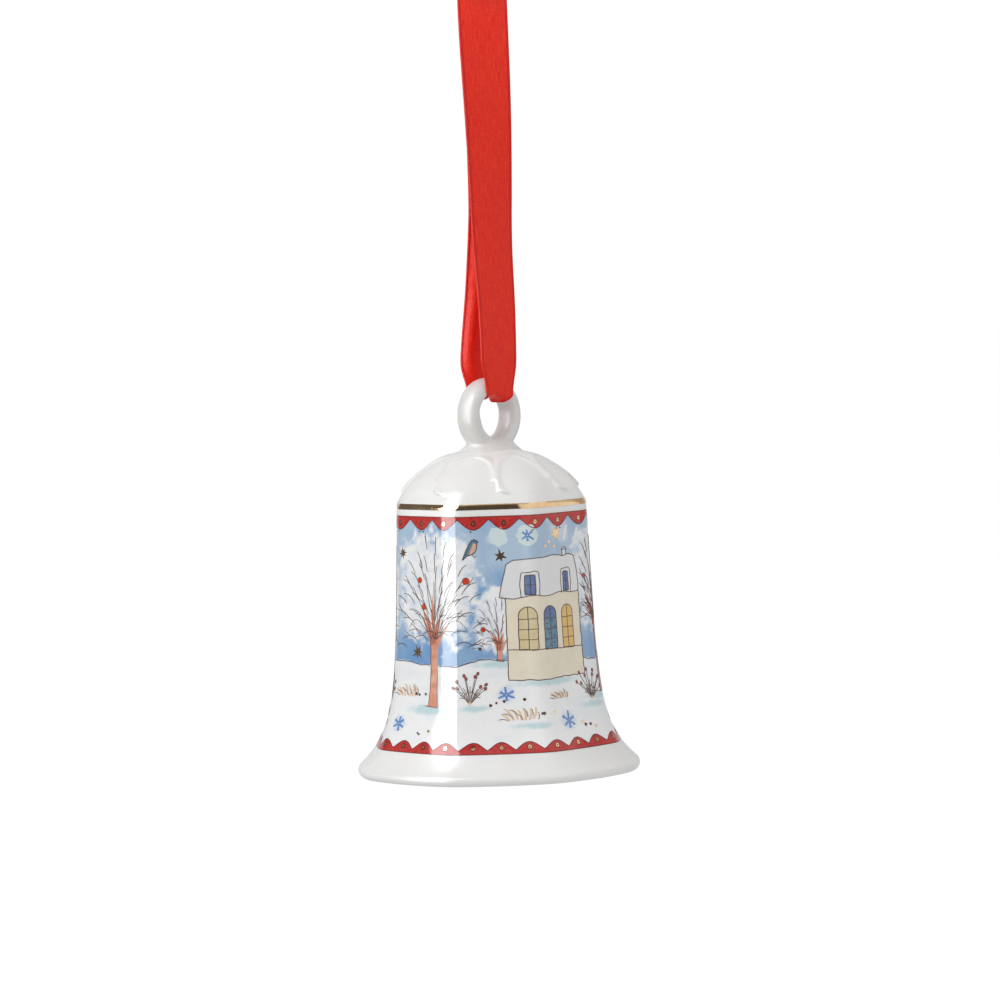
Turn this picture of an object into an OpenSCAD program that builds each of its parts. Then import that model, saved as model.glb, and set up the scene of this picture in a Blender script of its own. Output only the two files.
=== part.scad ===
// Hanging octagonal porcelain bell with a clapper, on a satin ribbon.
// Millimetres. The origin is the hanging point, the middle of the ribbon's knot.
// +Z is up, Y runs along the axis of the loop's eye, X runs across the loop.

/* [Ribbon] */
// Width of the satin ribbon
ribbon_w = 10; // [8:0.5:12]
// Thickness of the ribbon
ribbon_t = 0.35; // [0.25:0.05:0.5]
// Height of the hanging point above the middle of the loop's eye
eye_drop = 90; // [60:1:160]
// Turn of both strands between the loop and the knot, degrees
strand_turn = 48; // [0:1:90]
// Height of the knot
knot_h = 8; // [6:0.5:12]
// Length of the free ends above the knot
tail_l = 18; // [10:1:40]

/* [Loop] */
// Inner diameter of the loop's eye
eye_d = 9; // [8:0.1:10]
// Radial thickness of the loop
loop_wall = 2.6; // [1.8:0.1:2.8]
// Depth of the loop along the eye's axis
loop_depth = 5; // [4:0.1:5.4]
// Width of the oval foot under the loop
foot_w = 12; // [11:0.5:13]
// Depth of the oval foot
foot_depth = 8.8; // [8:0.2:10]

/* [Bell] */
// Height of the bell casting from the rim to the crown
bell_h = 64.9; // [60:0.5:70]
// Width across the flats where the shoulder starts
body_w = 38.1; // [36:0.5:40]
// Height of the shoulder above the rim
shoulder_h = 53.6; // [50:0.2:55]
// How much the wall leans outwards going down, mm per mm
lean = 0.034; // [0.02:0.002:0.05]
// Extra half width that the flare adds at the rim
flare = 8.6; // [6:0.2:10]
// Height over which the flare fades
flare_fade = 6.6; // [5:0.2:9]
// Wall thickness
wall = 2.4; // [2:0.1:3]
// Sharpness of the eight edges, higher is sharper
edge_power = 28; // [12:2:40]
// How round the rim is, 0 keeps the octagon and 1 is a circle
rim_round = 0.65; // [0:0.05:1]
// Height of the relief arches on the shoulder
relief_h = 0.8; // [0.3:0.1:1]

/* [Clapper] */
// Diameter of the clapper ball
ball_d = 11; // [9:0.5:13]
// Height of the ball's middle above the rim
ball_up = 15; // [13:0.5:20]
// Diameter of the brass wire
wire_d = 1; // [0.8:0.1:1.2]
// Mean diameter of the wire ring
ring_d = 6.4; // [6:0.1:7]
// Diameter of the hole in the lug
lug_bore = 2.6; // [2.4:0.1:3]
// Thickness of the lug
lug_t = 2.4; // [2:0.1:2.6]

/* [Hidden] */
$fn = 96;
porcelain = "whitesmoke";
brass = "goldenrod";
satin = "firebrick";

// heights
eye_z = -eye_drop;
loop_mid_r = (eye_d + loop_wall) / 2;
loop_sink = 0.9;                                  // the loop stands this deep in the crown
crown_z = eye_z - loop_mid_r - loop_wall / 2 + loop_sink;
rim_z = crown_z - bell_h;

// ribbon
bend_up = 3.2;                                    // the bend's middle above the eye's middle
strand_up = 7;                                    // where the strands leave the bend
strand_z = eye_z + strand_up;
strand_len = -knot_h / 2 - strand_z;
strand_rings = 22;
gap_loop = loop_depth / 2 + 0.6;                  // strands stand this far from the middle plane
gap_knot = ribbon_t / 2 + 0.2;
gap_fade = 36;                                    // height over which the strands close up
drift = [0.9, -0.95];                             // sideways lie of the strands further up
drift_fade = 38;

// half of the bend from its middle: [along the eye's axis, above the eye's middle, half width]
bend_half = [[1.2, bend_up, 2.8], [2.1, 3.4, 2.9], [2.8, 4, 3.6], [3, 4.9, 4.3],
             [gap_loop, 6, 4.8], [gap_loop, strand_up, ribbon_w / 2]];

// bell
around = 96;                                      // points around the shell
body_steps = 15;
dome_steps = 22;
lip_steps = 6;
rim_up = 1.2;                                     // where the lip's rounding starts
flat_foot = 0.15;                                 // the lip is ground flat by this much
round_r = 1.01;                                   // the round rim beside the half width across flats
round_fade = 0.4;                                 // the octagon is back at this t
arch_half = 6.1;                                  // half width of a relief arch
arch_tall = 9.6;                                  // its height along the dome
arch_turn = 3.3;                                  // its middle is turned this far from the octagon's edge
arch_power = 1.7;                                 // 2 makes an ellipse, less a more pointed arch
foot_half = 5.2;                                  // the left foot curls in to this half width
arch_foot = 0.2;                                  // left foot, widest place and top along the dome
arch_wide = 0.28;
arch_top = 0.7;
short_leg = 0.3;                                  // where the right leg ends
ridge_w = 0.8;                                    // half width of the ridge

// clapper
wire_r = wire_d / 2;
ring_r = ring_d / 2;
lug_r = lug_bore / 2 + 1.5;
bore_z = crown_z - wall - 4.7;
play = 0.06;                                      // clearance where wire hangs on wire
ring_drop = lug_bore / 2 - wire_r - lug_t * lug_t / (8 * ring_r) - play;
ring_z = bore_z - ring_drop - ring_r;
eye_wire_r = 1.3;
wire_eye_z = ring_z - ring_r - 0.2;
ball_z = rim_z + ball_up;
ball_bore = wire_d + 0.3;
bead_h = 2.5;
bead_r = 1.3;
bead_top = ball_z - sqrt(pow(ball_d / 2, 2) - pow(ball_bore / 2, 2));

function smooth(x) = x <= 0 ? 0 : x >= 1 ? 1 : x * x * (3 - 2 * x);
function unit(v) = v / norm(v);

// ---- shell outline as [half width across flats, height above the rim] ----
function body_half(u) = body_w / 2 + lean * (shoulder_h - u) + flare * exp(-u / flare_fade);
function body_point(t) = let (u = rim_up + (shoulder_h - rim_up) * pow(t, 1.5)) [body_half(u), u];
function bezier(a, b, c, d, t) =
    pow(1 - t, 3) * a + 3 * pow(1 - t, 2) * t * b + 3 * (1 - t) * t * t * c + t * t * t * d;
function dome_point(t) =
    bezier([body_half(shoulder_h), shoulder_h], [body_w / 2 - 1.7, shoulder_h + 4.6],
           [body_w / 2 - 8.5, bell_h + 0.3], [0, bell_h], t);
// t runs from 0 at the rim through 1 at the shoulder to 2 at the crown
function outer(t) = t < 1 ? body_point(t) : dome_point(t - 1);
function inward(t) =
    let (d = unit(outer(min(t + 0.01, 2)) - outer(max(t - 0.01, 0)))) [-d[1], d[0]];
function inner(t) = t >= 2 ? [0, bell_h - wall] : outer(t) + wall * inward(t);
function lip(phi) =
    let (n = inward(0), c = outer(0) + wall / 2 * n, down = [-n[1], n[0]],
         p = c - wall / 2 * cos(phi) * n + wall / 2 * sin(phi) * down)
    [p[0], max(p[1], lip_low + flat_foot)];
lip_low = outer(0)[1] + wall / 2 * inward(0)[1] - wall / 2;

// ---- the soft octagon and the relief ----
function edge_sum(a, p) = [for (k = [0:7]) pow(max(0, cos(a - 45 * k)), p)] * [for (k = [0:7]) 1];
function power_at(t) = edge_power - (edge_power - 8) * smooth((t - 1.05) / 0.5);
function octagon(a, t) = pow(edge_sum(a, power_at(t)), -1 / power_at(t));
function section(a, t) =
    let (k = rim_round * (1 - smooth(t / round_fade))) (1 - k) * octagon(a, t) + k * round_r;
// an arch stands over each edge of the octagon, with a long left leg whose foot curls in
function arch(a, t) =
    let (s = t - 1, low = max(0, (arch_wide - s) / (arch_wide - arch_foot)),
         wide = arch_half - (arch_half - foot_half) * low * low,
         side = outer(t)[0] * sin((a + 45 - arch_turn) % 45 - 22.5) / wide,
         up = max(0, (s - arch_wide) / (arch_top - arch_wide)),
         q = pow(pow(abs(side), arch_power) + pow(up, arch_power), 1 / arch_power),
         steep = norm([side / wide, up / arch_tall]) / max(q, 0.01),
         ridge = exp(-pow((q - 1) / max(steep, 0.05) / ridge_w, 2)),
         leg = side > 0 ? smooth((s - short_leg) / 0.08) : 1,
         fade = smooth((s - arch_foot + 0.04) / 0.06))
    t <= 1 ? 0 : relief_h * (ridge * leg + 0.2 * max(0, 1 - q * q)) * fade;

function ring_points(p, t, lift) =
    [for (i = [0:around - 1])
        let (a = i * 360 / around, r = p[0] * section(a, t) + (lift ? arch(a, t) : 0))
        [r * cos(a), r * sin(a), rim_z + p[1]]];

// ---- lofting closed solids through rings of points ----
function side_faces(n, k, rings) =
    [for (j = [0:rings - 2]) for (i = [0:n - 1]) let (a = j * n + i, b = j * n + (i + 1) % n)
        each [[a, b, b + n], [a, b + n, a + n]]];

module loft(rings) {
    n = len(rings[0]);
    m = len(rings);
    polyhedron(points = [for (r = rings) each r],
               faces = concat([[for (i = [n - 1:-1:0]) i]], side_faces(n, 0, m),
                              [[for (i = [0:n - 1]) (m - 1) * n + i]]));
}

module bell_shell() {
    ts = concat([for (i = [0:body_steps - 1]) i / body_steps],
                [for (i = [0:dome_steps - 1]) 1 + i / dome_steps]);
    outside = [for (i = [len(ts) - 1:-1:0]) ring_points(outer(ts[i]), ts[i], true)];
    bottom = [for (i = [1:lip_steps - 1]) ring_points(lip(180 * i / lip_steps), 0, false)];
    inside = [for (i = [0:2:len(ts) - 1]) ring_points(inner(ts[i]), ts[i], false)];
    rings = concat(outside, bottom, inside);
    last = len(rings) * around;
    color(porcelain)
        polyhedron(points = concat([for (r = rings) each r], [[0, 0, crown_z], [0, 0, crown_z - wall]]),
                   faces = concat([for (f = side_faces(around, 0, len(rings))) [f[2], f[1], f[0]]],
                                  [for (i = [0:around - 1]) [last, i, (i + 1) % around]],
                                  [for (i = [0:around - 1])
                                      [last + 1, last - around + (i + 1) % around, last - around + i]]));
}

module hanger_loop() {
    straight = loop_depth - loop_wall;
    color(porcelain) translate([0, 0, eye_z]) rotate([90, 0, 0]) rotate_extrude() {
        translate([loop_mid_r - loop_wall / 2, -straight / 2]) square([loop_wall, straight]);
        translate([loop_mid_r, straight / 2]) circle(d = loop_wall);
        translate([loop_mid_r, -straight / 2]) circle(d = loop_wall);
    }
}

module loop_foot() {
    foot_h = 2.2;
    apart = foot_w - foot_depth;
    color(porcelain) translate([0, 0, crown_z - 1]) {
        translate([-apart / 2, -foot_depth / 2, 0]) cube([apart, foot_depth, foot_h]);
        translate([apart / 2, 0, 0]) cylinder(d = foot_depth, h = foot_h);
        translate([-apart / 2, 0, 0]) cylinder(d = foot_depth, h = foot_h);
    }
}

module clapper_lug() {
    color(porcelain) difference() {
        union() {
            translate([-lug_r, -lug_t / 2, bore_z]) cube([2 * lug_r, lug_t, crown_z - wall + 0.4 - bore_z]);
            translate([0, lug_t / 2, bore_z]) rotate([90, 0, 0]) cylinder(r = lug_r, h = lug_t);
        }
        translate([0, lug_t, bore_z]) rotate([90, 0, 0]) cylinder(d = lug_bore, h = 2 * lug_t);
    }
}

module wire_torus(mean_r) {
    rotate_extrude() translate([mean_r, 0]) circle(d = wire_d, $fn = 32);
}

module lug_ring() {
    color(brass) translate([0, 0, ring_z]) rotate([0, 90, 0]) wire_torus(ring_r);
}

module clapper_wire() {
    stem_top = wire_eye_z - eye_wire_r;
    stem_end = bead_top - bead_h - 0.3;
    color(brass) {
        translate([0, 0, wire_eye_z]) rotate([90, 0, 0]) wire_torus(eye_wire_r);
        translate([0, 0, stem_end]) cylinder(r = wire_r, h = stem_top - stem_end, $fn = 32);
    }
}

module clapper_ball() {
    color(porcelain) translate([0, 0, ball_z]) difference() {
        sphere(d = ball_d);
        translate([0, 0, -ball_d]) cylinder(d = ball_bore, h = 2 * ball_d, $fn = 32);
    }
}

module crimp_bead() {
    color(brass) translate([0, 0, bead_top - bead_h]) difference() {
        cylinder(r = bead_r, h = bead_h, $fn = 48);
        translate([0, 0, -1]) cylinder(r = wire_r, h = bead_h + 2, $fn = 32);
    }
}

// ---- ribbon: one length that goes down, through the eye and up again ----
function strand_ring(side, t) =
    let (up = t * strand_len, turn = -strand_turn * pow(t, 1.8),
         gap = gap_knot + (gap_loop - gap_knot) * (1 - smooth(up / gap_fade)),
         out = [sin(turn), -cos(turn)], along = [cos(turn), sin(turn)],
         mid = side * gap * out + drift * smooth(up / drift_fade))
    [for (c = [[-1, -1], [1, -1], [1, 1], [-1, 1]])
        let (p = mid + c[0] * ribbon_w / 2 * along - c[1] * ribbon_t / 2 * out)
        [p[0], p[1], strand_z + up]];

module strand(side) {
    color(satin) loft([for (i = [strand_rings:-1:0]) strand_ring(side, i / strand_rings)]);
}

module ribbon_front() {
    strand(1);
}

module ribbon_back() {
    strand(-1);
}

function bend_path() =
    concat([for (i = [len(bend_half) - 1:-1:0]) [-bend_half[i][0], bend_half[i][1], bend_half[i][2]]],
           bend_half);

function bend_ring(path, i) =
    let (a = path[max(i - 1, 0)], b = path[min(i + 1, len(path) - 1)],
         flat_end = i == 0 || i == len(path) - 1, d = unit([b[0] - a[0], b[1] - a[1]]),
         n = flat_end ? [d[1] > 0 ? 1 : -1, 0] : [d[1], -d[0]])
    [for (c = [[-1, -1], [1, -1], [1, 1], [-1, 1]])
        [c[0] * path[i][2], path[i][0] + c[1] * ribbon_t / 2 * n[0],
         eye_z + path[i][1] + c[1] * ribbon_t / 2 * n[1]]];

module ribbon_bend() {
    path = bend_path();
    color(satin) loft([for (i = [0:len(path) - 1]) bend_ring(path, i)]);
}

module ribbon_knot() {
    knot_r = ribbon_w / 2 + 1;
    bulge = 0.8;
    color(satin) rotate_extrude() {
        translate([0, -knot_h / 2]) square([knot_r - bulge, knot_h]);
        translate([0, -knot_h / 2 + bulge]) square([knot_r, knot_h - 2 * bulge]);
        translate([knot_r - bulge, knot_h / 2 - bulge]) circle(r = bulge, $fn = 32);
        translate([knot_r - bulge, bulge - knot_h / 2]) circle(r = bulge, $fn = 32);
    }
}

module ribbon_tails() {
    splay = 14;
    for (side = [-1, 1])
        color(satin) translate([0, side * 1.5, knot_h / 2]) rotate([-side * splay, 0, -strand_turn])
            translate([-ribbon_w / 2, -ribbon_t / 2, 0]) cube([ribbon_w, ribbon_t, tail_l]);
}

bell_shell();
hanger_loop();
loop_foot();
clapper_lug();
lug_ring();
clapper_wire();
clapper_ball();
crimp_bead();
ribbon_front();
ribbon_back();
ribbon_bend();
ribbon_knot();
ribbon_tails();
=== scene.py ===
"""Looks of the hanging porcelain bell: glaze, winter picture, gilding, satin ribbon and clapper.

Shapes are worked out in millimetres and become metres when their mesh is made.
The picture is drawn on the bell's unrolled wall. There x runs round the bell on a circle of ROLL_R,
with 0 in the middle of the wall that faces the camera, and u is the height above the rim.
"""

import math

import bpy
import numpy as np
from mathutils import Matrix, Vector, noise
from mathutils.geometry import delaunay_2d_cdt


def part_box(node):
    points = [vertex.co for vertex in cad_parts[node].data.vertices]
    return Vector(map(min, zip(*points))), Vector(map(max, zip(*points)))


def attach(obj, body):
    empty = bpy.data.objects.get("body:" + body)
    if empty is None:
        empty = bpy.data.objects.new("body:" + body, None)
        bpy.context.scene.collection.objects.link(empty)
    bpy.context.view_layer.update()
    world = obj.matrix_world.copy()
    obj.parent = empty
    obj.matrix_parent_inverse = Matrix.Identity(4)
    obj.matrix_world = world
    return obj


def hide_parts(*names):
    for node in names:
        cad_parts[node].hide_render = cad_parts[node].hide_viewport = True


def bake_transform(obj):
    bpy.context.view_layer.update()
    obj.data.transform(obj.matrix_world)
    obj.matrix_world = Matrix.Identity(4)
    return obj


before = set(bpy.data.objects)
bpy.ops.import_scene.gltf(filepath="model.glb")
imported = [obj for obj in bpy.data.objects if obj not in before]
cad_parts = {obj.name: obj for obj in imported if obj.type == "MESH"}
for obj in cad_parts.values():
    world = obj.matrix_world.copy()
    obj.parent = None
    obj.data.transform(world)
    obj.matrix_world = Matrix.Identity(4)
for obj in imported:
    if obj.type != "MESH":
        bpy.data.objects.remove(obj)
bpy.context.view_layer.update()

MM = 0.001


def node_box(name):
    """Lowest and highest corner of a CAD node in millimetres."""
    return [np.array(corner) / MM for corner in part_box(name)]


# ---- sizes from the frame ----
LOOP_LOW, LOOP_HIGH = node_box("hanger_loop")
EYE_Z = (LOOP_LOW[2] + LOOP_HIGH[2]) / 2
LOOP_R = (LOOP_HIGH[2] - LOOP_LOW[2]) / 2
LOOP_DEPTH = LOOP_HIGH[1] - LOOP_LOW[1]
STRAND_Z, STRAND_TOP = (corner[2] for corner in node_box("ribbon_front"))
CROWN_Z = node_box("bell_shell")[1][2]
KNOT_TOP = node_box("ribbon_knot")[1][2]
TAILS_TOP = node_box("ribbon_tails")[1][2]

# ---- the loop's and the bell's driving sizes, as in the CAD ----
LOOP_WALL = 2.6
BELL_H = 64.9
RIM_Z = CROWN_Z - BELL_H
BODY_W = 38.1
SHOULDER_H = 53.6
LEAN = 0.034
FLARE = 8.6
FLARE_FADE = 6.6
WALL = 2.4
EDGE_POWER = 28
RIM_ROUND = 0.65
ROUND_R = 1.01
ROUND_FADE = 0.4
RELIEF_H = 0.8
RIM_UP = 1.2
FLAT_FOOT = 0.15
ARCH_HALF = 6.1
ARCH_TALL = 9.6
ARCH_TURN = 3.3
ARCH_POWER = 1.7
FOOT_HALF = 5.2
ARCH_FOOT = 0.2
ARCH_WIDE = 0.28
ARCH_TOP = 0.7
SHORT_LEG = 0.3
RIDGE_W = 0.8
DOME = np.array([[BODY_W / 2 + FLARE * math.exp(-SHOULDER_H / FLARE_FADE), SHOULDER_H],
                 [BODY_W / 2 - 1.7, SHOULDER_H + 4.6], [BODY_W / 2 - 8.5, BELL_H + 0.3], [0, BELL_H]])

# ---- where the picture lies ----
FACING = 223.4
ROLL_R = 20.0
ROUND = 2 * math.pi * ROLL_R
GOLD_U = 53.86
GOLD_W = 1.1
UPPER_TOP = 51.95
LOWER_BASE = 5.26


def smooth(x):
    """From 0 to 1 as x does, without a corner at either end."""
    x = np.clip(x, 0, 1)
    return x * x * (3 - 2 * x)


def unit(v):
    return v / np.maximum(np.linalg.norm(v, axis=-1, keepdims=True), 1e-12)


# ---- the wall ----
def body_half(u):
    """Half width across the body's flats at a height above the rim."""
    return BODY_W / 2 + LEAN * (SHOULDER_H - u) + FLARE * np.exp(-u / FLARE_FADE)


def outline(t):
    """Half width across flats and height above the rim.

    t is 0 at the rim, 1 at the shoulder and 2 at the crown.
    """
    t = np.asarray(t, float)
    u = RIM_UP + (SHOULDER_H - RIM_UP) * np.clip(t, 0, 1) ** 1.5
    s = np.clip(t - 1, 0, 1)[..., None]
    r = 1 - s
    dome = r ** 3 * DOME[0] + 3 * r ** 2 * s * DOME[1] + 3 * r * s * s * DOME[2] + s ** 3 * DOME[3]
    body = np.stack([body_half(u), u], -1)
    return np.where((t < 1)[..., None], body, dome)


def inward(t):
    """The way into the wall, beside outline's half width and height."""
    d = unit(outline(np.minimum(t + 0.01, 2)) - outline(np.maximum(t - 0.01, 0)))
    return np.stack([-d[..., 1], d[..., 0]], -1)


def octagon(a, t):
    """How much further out than the middle of a flat the wall stands at angle a in degrees."""
    power = EDGE_POWER - (EDGE_POWER - 8) * smooth((t - 1.05) / 0.5)
    total = sum(np.maximum(0, np.cos(np.radians(a - 45 * k))) ** power for k in range(8))
    return total ** (-1 / power)


def section(a, t):
    """The octagon, which the flare rounds off towards the rim."""
    share = RIM_ROUND * (1 - smooth(t / ROUND_FADE))
    return (1 - share) * octagon(a, t) + share * ROUND_R


def arch(a, t):
    """Height of the relief arches on the shoulder: each has a long left leg whose foot curls in."""
    s = t - 1
    low = np.maximum(0, (ARCH_WIDE - s) / (ARCH_WIDE - ARCH_FOOT))
    wide = ARCH_HALF - (ARCH_HALF - FOOT_HALF) * low * low
    side = outline(t)[..., 0] * np.sin(np.radians((a - ARCH_TURN) % 45 - 22.5)) / wide
    up = np.maximum(0, (s - ARCH_WIDE) / (ARCH_TOP - ARCH_WIDE))
    q = (np.abs(side) ** ARCH_POWER + up ** ARCH_POWER) ** (1 / ARCH_POWER)
    steep = np.hypot(side / wide, up / ARCH_TALL) / np.maximum(q, 0.01)
    ridge = np.exp(-((q - 1) / np.maximum(steep, 0.05) / RIDGE_W) ** 2)
    leg = np.where(side > 0, smooth((s - SHORT_LEG) / 0.08), 1)
    height = leg * ridge + 0.2 * np.maximum(0, 1 - q * q)
    return np.where(t > 1, RELIEF_H * height * smooth((s - ARCH_FOOT + 0.04) / 0.06), 0)


def around(a, half, u):
    """Points at angle a in degrees, this far from the axis and this high above the rim."""
    a = np.radians(a)
    return np.stack([half * np.cos(a), half * np.sin(a), RIM_Z + u + 0 * a], -1)


def wall(a, t):
    """Points on the outside of the shell."""
    half, u = np.moveaxis(outline(t), -1, 0)
    return around(a, half * section(a, t) + arch(a, t), u)


def wall_normal(a, t):
    along = wall(a + 0.02, t) - wall(a - 0.02, t)
    up = wall(a, np.minimum(t + 0.002, 2)) - wall(a, np.maximum(t - 0.002, 0))
    return unit(np.cross(along, up))


T_TABLE = np.linspace(0, 1.6, 1601)
U_TABLE = outline(T_TABLE)[:, 1]


def on_wall(x, u, lift=0.0):
    """Points of the unrolled wall in space, lifted off the glaze."""
    a = FACING + np.degrees(np.asarray(x) / ROLL_R)
    t = np.interp(u, U_TABLE, T_TABLE)
    return wall(a, t) + lift * wall_normal(a, t)


# ---- meshes ----
def make_mesh(name, points, faces, look, flat_faces=None):
    """A piece from points in millimetres. Its faces are smooth, apart from those marked flat."""
    mesh = bpy.data.meshes.new(name)
    mesh.from_pydata((np.asarray(points, float) * MM).tolist(), [], [list(map(int, f)) for f in faces])
    mesh.update()
    flat = np.zeros(len(mesh.polygons), bool) if flat_faces is None else np.asarray(flat_faces, bool)
    mesh.polygons.foreach_set("use_smooth", ~flat)
    mesh.materials.append(look)
    if flat.any():
        sharpen(mesh, flat)
    piece = bpy.data.objects.new(name, mesh)
    bpy.context.scene.collection.objects.link(piece)
    return piece


def sharpen(mesh, flat):
    """Makes every edge of the marked faces sharp, so that the smooth faces beside them stay level."""
    loop_edges = np.zeros(len(mesh.loops), np.int32)
    mesh.loops.foreach_get("edge_index", loop_edges)
    sharp = np.zeros(len(mesh.edges), bool)
    for polygon in mesh.polygons[int(np.argmax(flat)):]:
        if flat[polygon.index]:
            sharp[loop_edges[polygon.loop_start:polygon.loop_start + polygon.loop_total]] = True
    mesh.attributes.new("sharp_edge", "BOOLEAN", "EDGE").data.foreach_set("value", sharp)


def grid_faces(rows, columns, wrap=False, wrap_rows=False):
    """Quads of a grid of points, row by row. With wrap the last column joins the first, and so for rows."""
    faces = []
    for j in range(rows if wrap_rows else rows - 1):
        to_next = ((j + 1) % rows - j) * columns
        for i in range(columns if wrap else columns - 1):
            a, b = j * columns + i, j * columns + (i + 1) % columns
            faces.append((a, b, b + to_next, a + to_next))
    return faces


def fan(tip, first, count):
    """Triangles from a tip to a ring of points, whose numbers start at first."""
    return [(tip, first + i, first + (i + 1) % count) for i in range(count)]


def turned_over(faces):
    return [f[::-1] for f in faces]


def ring_angles(count):
    """Angles evenly round a circle, in radians."""
    return np.linspace(0, 2 * math.pi, count, endpoint=False)


def run_along(path):
    """Length of a line of points up to each of them."""
    return np.concatenate([[0], np.cumsum(np.linalg.norm(np.diff(path, axis=0), axis=1))])


def point_value(piece, name, values):
    attribute = piece.data.attributes.new(name, "FLOAT", "POINT")
    attribute.data.foreach_set("value", np.asarray(values, np.float32).ravel())


# ---- materials ----
def rgb(r, g, b):
    """A screen colour from 0 to 255 as the linear colour that a shader takes."""
    linear = (c / 255 / 12.92 if c < 11 else ((c / 255 + 0.055) / 1.055) ** 2.4 for c in (r, g, b))
    return (*linear, 1.0)


class Look:
    """A material, built node by node."""

    def __init__(self, name, **sockets):
        self.material = bpy.data.materials.new(name)
        self.material.use_nodes = True
        self.nodes, self.links = self.material.node_tree.nodes, self.material.node_tree.links
        self.shader = self.nodes["Principled BSDF"]
        for socket, value in sockets.items():
            self.shader.inputs[socket.replace("_", " ")].default_value = value

    def node(self, kind, inputs=None, **settings):
        made = self.nodes.new("ShaderNode" + kind)
        for key, value in settings.items():
            setattr(made, key, value)
        for key, value in (inputs or {}).items():
            if isinstance(value, bpy.types.NodeSocket):
                self.links.new(value, made.inputs[key])
            else:
                made.inputs[key].default_value = value
        return made

    def set(self, socket, value):
        self.links.new(value, self.shader.inputs[socket])

    def place(self):
        """The surface point in the shared frame, in metres."""
        return self.node("TexCoord").outputs["Object"]

    def noise(self, scale, detail=4.0, roughness=0.55, vector=None, distortion=0.0):
        """Noise whose features are about 1 / scale metres wide."""
        return self.node("TexNoise", {"Vector": vector or self.place(), "Scale": scale, "Detail": detail,
                                      "Roughness": roughness, "Distortion": distortion}).outputs["Fac"]

    def ramp(self, value, *stops):
        """Colour from a value, with stops of (place, colour)."""
        made = self.node("ValToRGB", {"Fac": value})
        elements = made.color_ramp.elements
        while len(elements) < len(stops):
            elements.new(0.5)
        for element, (place, colour) in zip(elements, stops):
            element.position = place
            element.color = colour
        return made.outputs["Color"]

    def between(self, value, low, high):
        """A noise value spread from low to high."""
        return self.node("MapRange", {"Value": value, "From Min": 0.3, "From Max": 0.7,
                                      "To Min": low, "To Max": high}).outputs["Result"]

    def mix(self, factor, a, b, blend="MIX"):
        made = self.node("Mix", data_type="RGBA", blend_type=blend)
        for socket, value in ((made.inputs[0], factor), (made.inputs[6], a), (made.inputs[7], b)):
            if isinstance(value, bpy.types.NodeSocket):
                self.links.new(value, socket)
            else:
                socket.default_value = value
        return made.outputs[2]

    def bump(self, height, distance, strength=1.0, normal=None):
        inputs = {"Height": height, "Distance": distance, "Strength": strength}
        if normal:
            inputs["Normal"] = normal
        return self.node("Bump", inputs).outputs["Normal"]


def glossy_glaze(look, smoothest=0.045, roughest=0.1):
    """The fired glaze over everything on the bell: a hard gloss with a faint ripple."""
    ripple = look.noise(260, detail=2)
    look.set("Normal", look.bump(ripple, 0.000035, 0.5))
    look.set("Roughness", look.between(look.noise(900), smoothest, roughest))


def porcelain(name, *gloss, shine, white=rgb(243, 243, 242), warm=rgb(240, 239, 236)):
    look = Look(name, IOR=1.5, Specular_IOR_Level=shine, Subsurface_Weight=0.12, Subsurface_Scale=0.0012,
                Subsurface_Radius=(1.0, 0.9, 0.8))
    look.set("Base Color", look.mix(look.between(look.noise(90), 0, 1), white, warm))
    glossy_glaze(look, *gloss)
    return look.material


def enamel(name, colour, pale, grain=1400):
    """On-glaze colour, laid thin in one place and thick in another."""
    look = Look(name, IOR=1.5)
    pooled = look.mix(look.between(look.noise(grain, detail=5), 0, 1), colour, pale)
    look.set("Base Color", look.mix(look.between(look.noise(grain / 5), 0, 0.6), pooled, colour))
    glossy_glaze(look)
    return look.material


def painted(name):
    """The washes of the picture, read from the mesh, with the pigment's own grain."""
    look = Look(name, IOR=1.5)
    wash = look.node("Attribute", attribute_name="Wash").outputs["Color"]
    speckle = look.noise(2600, detail=6, roughness=0.7)
    grain = look.ramp(speckle, (0.32, rgb(228, 232, 238)), (0.6, rgb(255, 255, 255)))
    look.set("Base Color", look.mix(0.22, wash, grain, "MULTIPLY"))
    glossy_glaze(look)
    return look.material


def gilding(name):
    look = Look(name, Metallic=1.0)
    brushed = look.noise(700, detail=6, distortion=0.6)
    look.set("Base Color", look.mix(look.between(brushed, 0, 1), rgb(243, 214, 173), rgb(226, 188, 138)))
    look.set("Roughness", look.between(look.noise(1500, detail=5), 0.03, 0.07))
    look.set("Normal", look.bump(look.noise(600, detail=2), 0.00001, 0.03))
    return look.material


def brass(name):
    look = Look(name, Metallic=1.0)
    tarnish = look.between(look.noise(420, detail=6), 0, 1)
    look.set("Base Color", look.mix(tarnish, rgb(222, 182, 98), rgb(168, 120, 56)))
    look.set("Roughness", look.between(look.noise(1900), 0.18, 0.38))
    drawn = look.node("Mapping", {"Vector": look.place(), "Scale": (6.0, 6.0, 0.6)}).outputs["Vector"]
    look.set("Normal", look.bump(look.noise(1500, vector=drawn), 0.00003, 0.5))
    return look.material


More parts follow.
